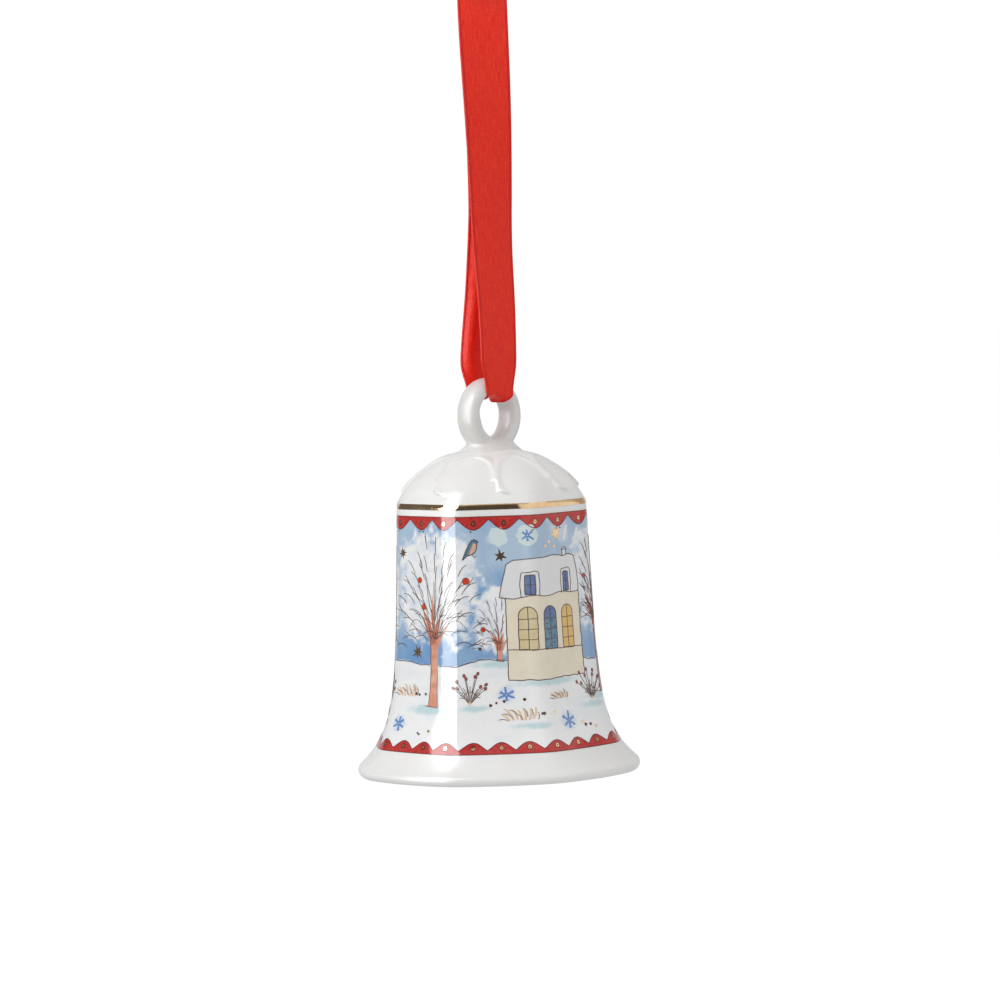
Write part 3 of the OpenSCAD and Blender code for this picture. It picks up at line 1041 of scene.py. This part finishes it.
def snowflake(x, u, r, seed):
    rng = np.random.default_rng(seed)
    for k in range(6):
        turn = k * 60 + rng.uniform(-9, 9)
        reach = r * rng.uniform(0.75, 1.05)
        blue.stroke(turned([[0, 0.1], [0, reach]], x, u, turn), 0.4, (1.1, 0.8))
        if k % 2:
            barb = [[-0.34, reach * 0.92], [0, reach * 0.6], [0.34, reach * 0.9]]
            blue.stroke(turned(barb, x, u, turn), 0.2)


def snow_disc(x, u, r, seed):
    a = ring_angles(48)
    ragged = [r * (1 + 0.2 * noise.noise((math.cos(t) * 2.6, math.sin(t) * 2.6, seed))) for t in a]
    aqua.shape(np.column_stack([x + ragged * np.cos(a), u + ragged * np.sin(a)]))


def heading(degrees):
    """Unit vector that many degrees to the right of straight up."""
    return np.array([math.sin(math.radians(degrees)), math.cos(math.radians(degrees))])


def in_front_of_houses(path):
    """The first part of a line, up to where it would cross a house."""
    for i, (x, u) in enumerate(path):
        if any(h[0] - 0.4 < x < h[1] + 0.3 and h[2] < u < h[4] + 0.5 for h in HOUSES):
            return path[:i]
    return path


def tree(x, base, fork, top, spread, trunk, seed, wood):
    """A snowy tree: a painted trunk and short limbs, then thin dark arcs that open like a fountain.

    The white of its crown is in the washes.
    """
    rng = np.random.default_rng(seed)
    height = top - fork
    arcs, nib = (7, 0.13) if height > 15 else (4, 0.09)
    left = curve((x - 1.2 * trunk, base), (x - 0.7 * trunk, base + 1), (x - 0.68 * trunk, fork - 5),
                 (x - trunk, fork + 0.8))
    right = curve((x + 1.1 * trunk, base - 0.1), (x + 0.7 * trunk, base + 1), (x + 0.6 * trunk, fork - 5),
                  (x + trunk, fork + 0.8))
    wood.shape(np.vstack([left, right[::-1]]))
    ground_ink.stroke(hand(left, 0.1, seed), nib, (0.6, 0.5))
    ground_ink.stroke(hand(right[:9], 0.1, seed + 3), 0.8 * nib, (0.6, 0.3))
    foot = [(x - 2.2 * trunk, base + 0.15), (x - 0.5 * trunk, base - 0.05), (x + 1.1 * trunk, base - 0.2)]
    ground_ink.stroke(hand(foot, 0.15, seed + 7), nib, (0.3, 0.6))
    for k, side in enumerate((-2.6, -1.4, -0.5, 0.3, 1.2, 2.6)):
        reach = height * (0.3, 0.2, 0.42, 0.16, 0.24, 0.14)[k]
        root = np.array([x + 0.35 * side * trunk, fork - 1.0])
        tip = root + np.array([side * 0.8 * trunk, 1.0 + reach])
        wood.stroke(curve(root, (root + tip) / 2 - [0.35 * side * trunk, 0], tip), 0.6 * trunk, (1.1, 0.2))
        if k < 4:
            shading = curve(root + [0, 0.4], (root + tip) / 2, tip - [0, 0.3 * reach])
            root_red.stroke(shading, 0.2 * trunk, (0.5, 0.2))
    middle = np.array([x, fork + 0.1 * height])
    for row, rho in enumerate((0.32, 0.5, 0.68, 0.85, 1.0)):
        for lean in np.linspace(-1, 1, arcs + 2 * row):
            theta = 97 * lean + rng.uniform(-5, 5)
            far = rho * rng.uniform(0.94, 1.05)
            tip = middle + heading(theta) * [spread * far, 0.86 * height * far]
            if row == 2:
                root = np.array([x + 0.7 * trunk * lean, fork + 0.2])
                limb = in_front_of_houses(curve(root, root + heading(0.4 * theta) * 0.4 * height, tip))
                ground_ink.stroke(hand(limb, 0.2, seed + theta), 0.7 * nib, (0.9, 0.3))
            reach = rng.uniform(0.13, 0.21) * height
            begin = tip - heading(theta * 0.85) * reach
            arc = in_front_of_houses(curve(begin, begin + heading(theta * 0.4) * 0.6 * reach, tip))
            if len(arc) < 10:
                continue
            ink.stroke(hand(arc, 0.15, seed + row), nib, (0.4, 0.6))
            if rng.random() < 0.4:
                twig = heading(theta * 0.4) * 0.07 * height
                ink.stroke(curve(arc[6], arc[9] + [0, 0.02 * height], arc[9] + twig), 0.8 * nib, (0.8, 0.4))


def bauble(x, u, r=0.55):
    berry.dot(x, u, r, x)
    ring = turned([[r * math.cos(a), r * math.sin(a)] for a in np.linspace(0, 2 * math.pi, 15)], x, u)
    ink.stroke(ring, 0.08, EVEN)


def bush(x, base, size, seed):
    """A bare rose bush: stems from one foot, with dark hips at their tips."""
    rng = np.random.default_rng(seed)
    foot = np.array([x, base])
    straw.shape(foot + [(-0.1, -0.2), (0.8, 1.3), (0.1, 0.9), (-0.8, 1.1)])
    for k in range(15):
        turn = -44 + 88 * k / 14 + rng.uniform(-5, 5)
        reach = size * (1 - abs(turn) / 130) * (0.98, 0.6, 0.8)[k % 3] * rng.uniform(0.85, 1.05)
        path = curve(foot, foot + heading(turn * 0.7) * reach * 0.5, foot + heading(turn) * reach)
        ground_ink.stroke(path[2:], 0.1, (0.4, 0.8))
        if k % 3 != 1:
            tip = path[-1] + heading(turn) * 0.3
            oval = [[0.27 * math.cos(a), 0.4 * math.sin(a)] for a in np.linspace(0, 2 * math.pi, 13)]
            oval = turned(oval, *tip, -turn + rng.uniform(-20, 20))
            hip.shape(oval[:-1])
            ground_ink.stroke(oval, 0.1, EVEN)
        else:
            spur = path[8]
            for lean in (-30, 30):
                twig = curve(spur, spur + heading(turn + lean) * 0.6, spur + heading(turn + 1.5 * lean))
                ground_ink.stroke(twig, 0.1)


def grass(x, base, size, seed):
    """A tuft: pale blades that lean over to the left and dark arcs beside them."""
    rng = np.random.default_rng(seed)
    for k in range(7):
        turn = -50 + 11 * k + rng.uniform(-5, 5)
        foot = np.array([x + 0.2 * size * (k - 3), base + rng.uniform(-0.2, 0.2)])
        reach = size * rng.uniform(0.6, 0.85)
        blade = curve(foot, foot + heading(turn + 20) * reach * 0.6, foot + heading(turn) * reach)
        straw.stroke(blade, 0.42, (0.9, 0.4))
    for k in range(7):
        turn = -82 + 14 * k + rng.uniform(-6, 6)
        rise = 0.13 * size * (k % 3) + rng.uniform(-0.1, 0.1)
        foot = np.array([x - 0.7 * size + 0.26 * size * k, base + rise])
        reach = size * rng.uniform(0.4, 0.65)
        path = curve(foot, foot + heading(turn + 28) * reach * 0.6, foot + heading(turn) * reach)
        ground_ink.stroke(path, 0.12, (0.9, 0.4))


def ground_dots(x, u, seed):
    rng = np.random.default_rng(seed)
    for k in range(2):
        ground_ink.dot(x + rng.uniform(-0.9, 0.9), u + rng.uniform(-0.6, 0.6), rng.uniform(0.2, 0.34), k)
    gilt.dot(x + rng.uniform(1.2, 2.4), u + rng.uniform(-0.5, 0.8), 0.3)


def window(x, base, wide, high, pane, arched=True, seed=0):
    """A window with its bars: arched ones have a round head."""
    r = wide / 2
    if arched:
        spring = base + high - r
        head = [(x + r * math.cos(a), spring + r * math.sin(a)) for a in np.linspace(0, math.pi, 12)]
    else:
        head = [(x + r, base + high), (x - r, base + high)]
    edge = np.array([(x - r, base), (x + r, base)] + head)
    pane.shape(edge)
    ink.stroke(hand(np.vstack([edge, edge[:1]]), 0.08, seed), 0.17, EVEN)
    ink.stroke(hand([(x, base), (x, base + high)], 0.06, seed + 1), 0.15, EVEN)
    for k in range(1, 4 if arched else 2):
        y = base + high * k / (4.2 if arched else 2)
        ink.stroke(hand([(x - r, y), (x + r, y)], 0.06, seed + 1 + k), 0.13, EVEN)


def house(x0, x1, base, eave, ridge, windows, dormers, seed, door):
    """A house under a snowy roof. Windows and dormers are shares of the way across it."""
    wide = x1 - x0
    foot_line = [(x0, base), (x0 + wide * 0.45, base - 0.2), (x1, base + 0.1)]
    cream.shape(foot_line + [(x1, eave + 0.6), (x0, eave + 0.5)])
    sill = base + 0.36 * (eave - base)
    lines = (([(x0, eave), (x0 + 0.1, base)], 0.15), ([(x1, base + 0.1), (x1, eave + 0.5)], 0.15),
             (foot_line, 0.25), ([(x0 + 0.1, sill), (x1 - 0.1, sill - 0.3)], 0.25))
    for k, (line, size) in enumerate(lines):
        ink.stroke(hand(line, size, seed + k), 0.17, (0.9, 0.9))
    for k, share in enumerate(windows):
        foot = sill - 0.3 * share
        high = (eave - sill) * 0.82
        w = wide * (0.21, 0.185, 0.175)[k]
        pane = dusk if k == door else (lit, lit, glow)[k]
        window(x0 + wide * share, foot, w, high, pane, True, seed + 10 + k)
        if k == door:
            middle, r = x0 + wide * share, w / 2 - 0.1
            low, top = foot + 0.1, foot + high * 0.7
            teal.shape([(middle - r, low), (middle + r, low), (middle + r, top), (middle - r, top)])
            for j in range(9):
                ink.dot(middle + r * 0.7 * math.sin(j * 2.4), foot + 0.6 + high * 0.075 * j, 0.16, j, 1.3)
    drips = [(x0 - 1.2 + (wide + 1.3) * s, eave - 0.2 + 0.7 * s + 0.22 * math.sin(s * 17 + seed))
             for s in np.linspace(0, 1, 19)]
    roof_high = ridge - eave
    snow_top = [(x0 + wide * share, ridge + more) for share, more in (
        (0.86, 0.7), (0.78, 0.4), (0.62, 0.8), (0.36, 0.4), (0.12, 0.2), (0.02, -0.7))]
    top = [(x1 - 0.1, eave + roof_high * 0.6), (x1 - 0.8, ridge + 0.4), *snow_top,
           (x0 - 0.6, eave + roof_high * 0.4)]
    edge = hand(drips + top, 0.15, seed + 20, closed=True)
    roof.shape(edge)
    ink.contour(edge, 0.16)
    for k, share in enumerate(dormers):
        x, w, h = x0 + wide * share, wide * (0.105, 0.075)[k], roof_high * 0.54
        low = eave + 0.1 + 0.4 * share
        surround = [(x + w * out, low + up) for out, up in (
            (-1, -0.2), (-1.1, h * 0.6), (-0.95, h + 0.7), (0, h + 0.8), (0.5, h + 1.0), (1, h + 0.7),
            (1.1, h * 0.6), (1, 0))]
        ink.stroke(hand(surround, 0.1, seed + 30 + k), 0.15, EVEN)
        window(x, low + 0.2, w * 1.15, h, dusk, False, seed + 40 + k)
    x = x0 + wide * 0.8
    stack = [(x - 0.6, ridge + 0.4), (x - 0.6, ridge + 2.0), (x + 0.6, ridge + 2.1), (x + 0.5, ridge + 0.5)]
    roof.shape(stack)
    ink.stroke(hand(stack, 0.06, seed + 50), 0.16, EVEN)
    ink.stroke([(x - 0.75, ridge + 1.6), (x + 0.75, ridge + 1.7)], 0.14, EVEN)


def bird(x, u, size, facing=1):
    """A bird seen from the side. Facing is 1 to the right and -1 to the left."""
    back = [(-0.95, -1.35), (-0.75, -0.85), (-0.5, -0.2), (-0.2, 0.4), (0.05, 0.85), (0.3, 1.15), (0.6, 1.2),
            (0.82, 1.02), (1.1, 0.9), (0.85, 0.78), (0.85, 0.5), (0.8, 0.0), (0.55, -0.45), (0.1, -0.72),
            (-0.3, -0.8)]
    front = [(0.45, 0.75), (0.8, 0.6), (0.83, 0.4), (0.77, 0.0), (0.52, -0.42), (0.1, -0.68), (-0.15, -0.7),
             (0.1, -0.1), (0.3, 0.4)]
    wing = [(0.1, 0.6), (-0.3, -0.2), (-0.55, -0.8)]
    legs = [(0.3, -0.6), (0.35, -0.98), (0.8, -0.95)]
    eye = [(0.55, 0.96)]
    back, front, wing, legs, eye = (turned(np.array(part) * [facing, 1], x, u, 0, size)
                                    for part in (back, front, wing, legs, eye))
    teal.shape(back, 0.5, 0.3)
    breast.shape(front, 0.5, 0.3)
    ink.contour(back, 0.17)
    ink.stroke(wing, 0.1)
    ink.stroke(legs, 0.1)
    ink.dot(*eye[0], 0.12)


def drop(x, u, tall, wide):
    """A small gold drop with a dark edge and a red heart."""
    a = ring_angles(16)
    edge = np.column_stack([wide / 2 * np.sin(a) * (1 - 0.3 * np.cos(a)), tall / 2 * np.cos(a)])
    edging.shape(turned(edge, x, u, 0, 1.42), 0.6, 0.3)
    gilt.shape(turned(edge, x, u), 0.6, 0.3)
    heart.shape(turned(edge, x, u, 0, 0.45), 0.6, 0.3)


UPPER_LOBES = 20
LOWER_LOBES = 27
UPPER_START = 0.42
LOWER_START = 0.14


def lobe(phase):
    """From 0 at a sharp cusp up to 1 at a round top, halfway along."""
    return np.sin(math.pi * (phase % 1)) ** 1.15


def level(height):
    return lambda share: height + 0 * share


def upper_edge(share):
    return UPPER_TOP - 0.55 - 2.02 * lobe(share * UPPER_LOBES - UPPER_START + 0.5)


def lower_edge(share):
    return LOWER_BASE + 0.68 + 1.46 * lobe(share * LOWER_LOBES - LOWER_START + 0.5)


def offset(edge, by):
    return lambda share: edge(share) + by


def draw_borders():
    columns = 1080
    red.band(upper_edge, level(UPPER_TOP), columns, 4)
    red.band(level(LOWER_BASE), lower_edge, columns, 4)
    edging.band(offset(upper_edge, -0.1), offset(upper_edge, 0.08), columns, 1)
    edging.band(offset(lower_edge, -0.08), offset(lower_edge, 0.1), columns, 1)
    edging.band(level(UPPER_TOP - 0.05), level(UPPER_TOP + 0.1), columns, 1)
    edging.band(level(LOWER_BASE - 0.08), level(LOWER_BASE + 0.06), columns, 1)
    for k in range(UPPER_LOBES):
        x = (k + UPPER_START) / UPPER_LOBES * ROUND
        drop(x, UPPER_TOP - 1.3, 0.85, 0.72)
        for side in (-1, 1)[:k % 3]:
            ink.dot(x + side * 0.55, UPPER_TOP - 2.95, 0.15, k, 1.3)
    for k in range(LOWER_LOBES):
        drop((k + LOWER_START) / LOWER_LOBES * ROUND, LOWER_BASE + 1.2, 0.8, 0.62)


HILL = 23.0
# x, base, fork, top, spread, trunk, seed, dark wood
TREES = [(-12.6, 14.3, 27.5, 48.6, 10.8, 1.15, 3, False), (1.0, 23.3, 26.4, 36.5, 5.4, 0.6, 5, False),
         (25.2, 15.6, 30.0, 47.5, 7.4, 1.1, 8, True), (-31.0, 15.5, 27.0, 46.0, 8.4, 1.0, 12, True),
         (55.5, 14.6, 28.5, 48.0, 9.4, 1.1, 17, False), (-44.5, 23.0, 27.0, 37.5, 5.4, 0.6, 21, False)]
# left, right, foot, eave, ridge, windows, dormers, dusk window, seed
HOUSES = [(2.4, 20.1, 19.5, 35.8, 43.0, (0.24, 0.52, 0.79), (0.28, 0.8), 1, 2),
          (34.6, 46.4, 20.0, 33.0, 40.4, (0.24, 0.52, 0.8), (0.3, 0.74), 0, 9),
          (-57.5, -48.6, 20.6, 32.0, 39.0, (0.28, 0.72), (0.5,), 2, 15)]
# x, u, size
BAUBLES = ((-16.7, 39.3, 0.6), (-5.3, 39.3, 0.7), (-15.6, 34.0, 0.62), (-2.2, 29.6, 0.5), (-34.0, 37.5, 0.6),
           (-27.2, 33.5, 0.55), (22.0, 39.0, 0.5), (28.8, 34.8, 0.55), (52.2, 38.5, 0.6), (58.6, 35.0, 0.6),
           (56.6, 42.4, 0.5))
SNOW_DISCS = ((1.4, 47.9, 1.9), (7.2, 48.0, 2.1), (38.6, 46.6, 2.0), (-37.6, 48.0, 1.7), (-60.6, 46.8, 1.9))
FLAKES = ((1.9, 16.6, 1.6), (13.9, 10.8, 1.8), (-20.6, 10.6, 1.4), (30.4, 11.4, 1.4), (42.0, 14.6, 1.4),
          (-36.0, 12.2, 1.4), (-53.0, 14.0, 1.4), (60.5, 11.4, 1.3))
BUSHES = ((-4.8, 14.7, 7.0), (21.2, 14.2, 7.2), (49.4, 14.6, 6.4), (-25.8, 14.4, 6.0), (-41.2, 15.4, 6.4),
          (-60.8, 15.2, 6.0))
TUFTS = ((4.4, 11.6, 3.4), (12.6, 15.3, 2.2), (-19.4, 16.2, 3.0), (33.4, 14.8, 2.8), (38.8, 10.8, 3.2),
         (53.2, 11.0, 2.6), (-33.8, 11.0, 3.0), (-47.6, 12.8, 3.0), (-56.4, 10.6, 2.8))
# x, u, size, points
STARS = ((14.4, 48.0, 1.7, 7), (1.7, 44.1, 1.5, 6), (-17.2, 24.9, 1.6, 7), (-21.5, 44.6, 1.3, 8),
         (31.0, 45.6, 1.4, 8), (48.6, 46.0, 1.3, 6), (-38.6, 44.8, 1.4, 8), (-52.5, 45.4, 1.4, 8),
         (-47.5, 33.2, 1.2, 6))
# x, u
GOLD_DOTS = ((12.2, 46.4), (13.6, 45.4), (11.2, 45.6), (-2.9, 25.8), (30.4, 43.2), (-40.2, 42.9),
             (-24.4, 24.6), (50.4, 44.1), (5.2, 15.6), (17.2, 10.2))
COMETS = ((16.6, 46.2), (19.6, 45.4), (47.2, 43.0), (-55.4, 43.4))
GROUND_DOTS = ((-16.4, 17.0), (-0.6, 14.6), (-15.2, 8.9), (8.6, 12.6), (18.6, 9.4), (27.0, 10.2),
               (45.0, 10.4), (57.4, 16.6), (-29.4, 10.4), (-44.0, 10.6), (-50.0, 10.2))


def draw_picture():
    for x, base, fork, top, spread, trunk, seed, dark in TREES:
        tree(x, base, fork, top, spread, trunk, seed, dark_bark if dark else bark)
    for x0, x1, base, eave, ridge, windows, dormers, door, seed in HOUSES:
        house(x0, x1, base, eave, ridge, windows, dormers, seed, door)
    for x, u, r in BAUBLES:
        bauble(x, u, r)
    for x, u, r, points in STARS:
        star(x, u, r, points, turn=x * 7 % 20)
    for x, u in GOLD_DOTS:
        gilt.dot(x, u, 0.32)
    for x, u, r in SNOW_DISCS:
        snow_disc(x, u, r, x)
        if x > 2 or x < -50:
            snowflake(x, u, r * 0.72, int(x * 10) % 97)
    for x, u, r in FLAKES:
        snowflake(x, u, r, int(x * 7) % 89)
    for x, u in COMETS:
        frost.stroke(curve((x, u), (x + 0.5, u + 1.6), (x + 1.2, u + 3.2)), 0.6, (0.2, 0.7))
    for x, u, size in BUSHES:
        bush(x, u, size, int(x * 3) % 71)
    for x, u, size in TUFTS:
        grass(x, u, size, int(x * 5) % 67)
    for x, u in GROUND_DOTS:
        ground_dots(x, u, int(x * 11) % 61)
    bird(-4.4, 45.6, 1.6)
    bird(34.9, 42.8, 1.2, -1)
    draw_horizon()


def draw_horizon():
    """The hill's line, left out where a trunk or a house stands in front of it."""
    x = np.linspace(0, ROUND, 400)
    hidden = [(t[0] - t[5], t[0] + t[5]) for t in TREES if t[1] < HILL - 1] + [(h[0], h[1]) for h in HOUSES]
    piece = []
    for x, u in hand(np.column_stack([x, hill_line(x)]), 0.35, 6):
        if any(a <= apart(x, 0) <= b for a, b in hidden):
            if len(piece) > 3:
                ground_ink.stroke(piece, 0.15, (0.8, 0.8))
            piece = []
        else:
            piece.append((x, u))
    ground_ink.stroke(piece, 0.15, (0.8, 0.8))


def hill_line(x):
    """Height of the snowy hill's edge round the bell."""
    a = np.asarray(x) / ROLL_R
    return HILL + 0.5 * np.sin(3 * a + 0.6) + 0.35 * np.sin(7 * a + 2.0) - 0.2 * np.sin(13 * a)


def clouds(x, u, size, seed):
    """Soft noise from 0 to 1 that joins up round the bell."""
    rng = np.random.default_rng(seed)
    total, weight = 0, 0
    for octave in range(4):
        nx = max(int(round(ROUND / size * 2 ** octave)), 3)
        cell = ROUND / nx
        ny = int(160 / cell) + 3
        lattice = rng.random((nx, ny))
        fx, fy = (x % ROUND) / cell, u / cell
        ix, iy = fx.astype(int), fy.astype(int)
        sx, sy = smooth(fx - ix), smooth(fy - iy)
        ix, jx = ix % nx, (ix + 1) % nx
        low, high = (lattice[ix, row] * (1 - sx) + lattice[jx, row] * sx for row in (iy, iy + 1))
        total = total + (low * (1 - sy) + high * sy) * 0.5 ** octave
        weight += 0.5 ** octave
    return total / weight


def apart(x, middle):
    """Distance round the bell, less than nothing to the left."""
    return (x - middle + ROUND / 2) % ROUND - ROUND / 2


CROWN_POWER = 2.8
# x, u, half width, half height of the free shadows on the snow
SNOW_SHADOWS = [(-4, 14.0, 3.0, 0.7), (6.5, 10.4, 3.4, 0.7), (21.5, 13.4, 4, 0.8), (40, 9.6, 5, 0.7),
                (-34, 9.8, 5, 0.7)]


def wash(*colour):
    return np.array(rgb(*colour)[:3])


def over(under, colour, share):
    """A wash laid over another one, as thick as its share."""
    return under * (1 - share[:, None]) + colour * share[:, None]


def cover(cloud, start, width):
    """Where noise is above start, reaching 1 at start + width."""
    return smooth((cloud - start) / width)


def paint_washes(x, u):
    """Colour of the washes: blue sky, frosted tree crowns, snow with shadows."""
    white, pale, middle, deep = (wash(250, 250, 250), wash(186, 208, 228), wash(130, 172, 214),
                                 wash(104, 148, 200))
    sky = over(pale * np.ones((len(x), 3)), middle, cover(clouds(x, u, 11, 1), 0.36, 0.3))
    strokes = cover(clouds(x + 0.5 * u, u * 0.35, 3.0, 2), 0.42, 0.26)
    low = smooth((HILL + 10 - u) / 8)
    sky = over(sky, deep * 0.6 + middle * 0.4, 0.7 * low)
    sky = over(sky, pale, 0.4 * strokes * (1 - 0.6 * low))
    sky = over(sky, deep, 0.22 * cover(clouds(x, u * 0.5, 5, 9), 0.5, 0.2))
    sky = over(sky, white, 0.4 * cover(clouds(x, u * 1.3, 8, 3), 0.57, 0.12) * cover(u, HILL + 8, 6))
    ragged = 0.5 * (clouds(x, u, 2.6, 5) + clouds(x, u, 0.9, 8)) - 0.5
    crowns = np.zeros(len(x))
    for tx, base, fork, top, spread, *_ in TREES:
        out = np.abs(apart(x, tx) / (spread + 0.4))
        up = np.abs((u - (fork + top) / 2) / ((top - fork) / 2 + 2.0))
        q = (out ** CROWN_POWER + up ** CROWN_POWER) ** (1 / CROWN_POWER)
        crowns = np.maximum(crowns, smooth((0.98 - q + 0.8 * ragged) / 0.24) * np.clip(0.85 + ragged, 0, 1))
    colour = over(sky, white, crowns)
    blank = white * np.ones_like(colour)
    snow = over(blank, wash(226, 235, 243), 0.3 * cover(clouds(x, u * 2.4, 10, 7), 0.52, 0.2))
    shade = np.zeros(len(x))
    spots = [(t[0] - 0.5, t[1] - 0.7, 5.5, 0.9) for t in TREES]
    spots += [((h[0] + h[1]) / 2 - 1, h[2] - 0.8, 7.5, 0.8) for h in HOUSES]
    for sx, su, wide, tall in spots + SNOW_SHADOWS:
        q = np.hypot(apart(x, sx) / wide, (u - su) / tall)
        shade = np.maximum(shade, smooth((1.25 - q + 1.2 * ragged) / 0.9))
    snow = over(snow, wash(186, 220, 226), 0.75 * shade)
    for fx, fu, r in FLAKES:
        q = np.hypot(apart(x, fx), u - fu) / (r * 1.25)
        snow = over(snow, wash(208, 222, 242), 0.75 * smooth((1.1 - q + 0.6 * ragged) / 0.6))
    colour = over(snow, colour, smooth((u - hill_line(x)) / 0.35 + 0.5))
    between_borders = cover(u, LOWER_BASE + 0.4, 0.3) * smooth((UPPER_TOP - 0.2 - u) / 0.2)
    return over(blank, colour, between_borders)


def add_washes():
    """The painted sheet under the films: its front just above the glaze, its back just inside it."""
    columns, rows, back_rows = 512, 150, 24
    low, high = LOWER_BASE + 0.1, UPPER_TOP - 0.1
    places = np.arange(columns) * ROUND / columns
    x, u = (v.ravel() for v in np.meshgrid(places, np.linspace(low, high, rows + 1)))
    bx, bu = (v.ravel() for v in np.meshgrid(places, np.linspace(high, low, back_rows + 1)))
    points = np.concatenate([on_wall(x, u, 0.012), on_wall(bx, bu, -0.03)])
    faces = grid_faces(rows + 1 + back_rows + 1, columns, True, True)
    washes = make_mesh("picture_washes", points, faces, painted("painted_washes"))
    colours = np.ones((len(points), 4), np.float32)
    colours[:len(x), :3] = paint_washes(x, u)
    colours[len(x):, :3] = rgb(246, 246, 247)[:3]
    attribute = washes.data.attributes.new("Wash", "FLOAT_COLOR", "POINT")
    attribute.data.foreach_set("color", colours.ravel())
    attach(washes, "bell")


draw_borders()
draw_picture()
add_washes()
gold_line = film("gold_line", gold_look, 0.035, "gilding")
gold_line.band(level(GOLD_U - GOLD_W / 2), level(GOLD_U + GOLD_W / 2), 768, 6)
for layer in films.values():
    layer.build()
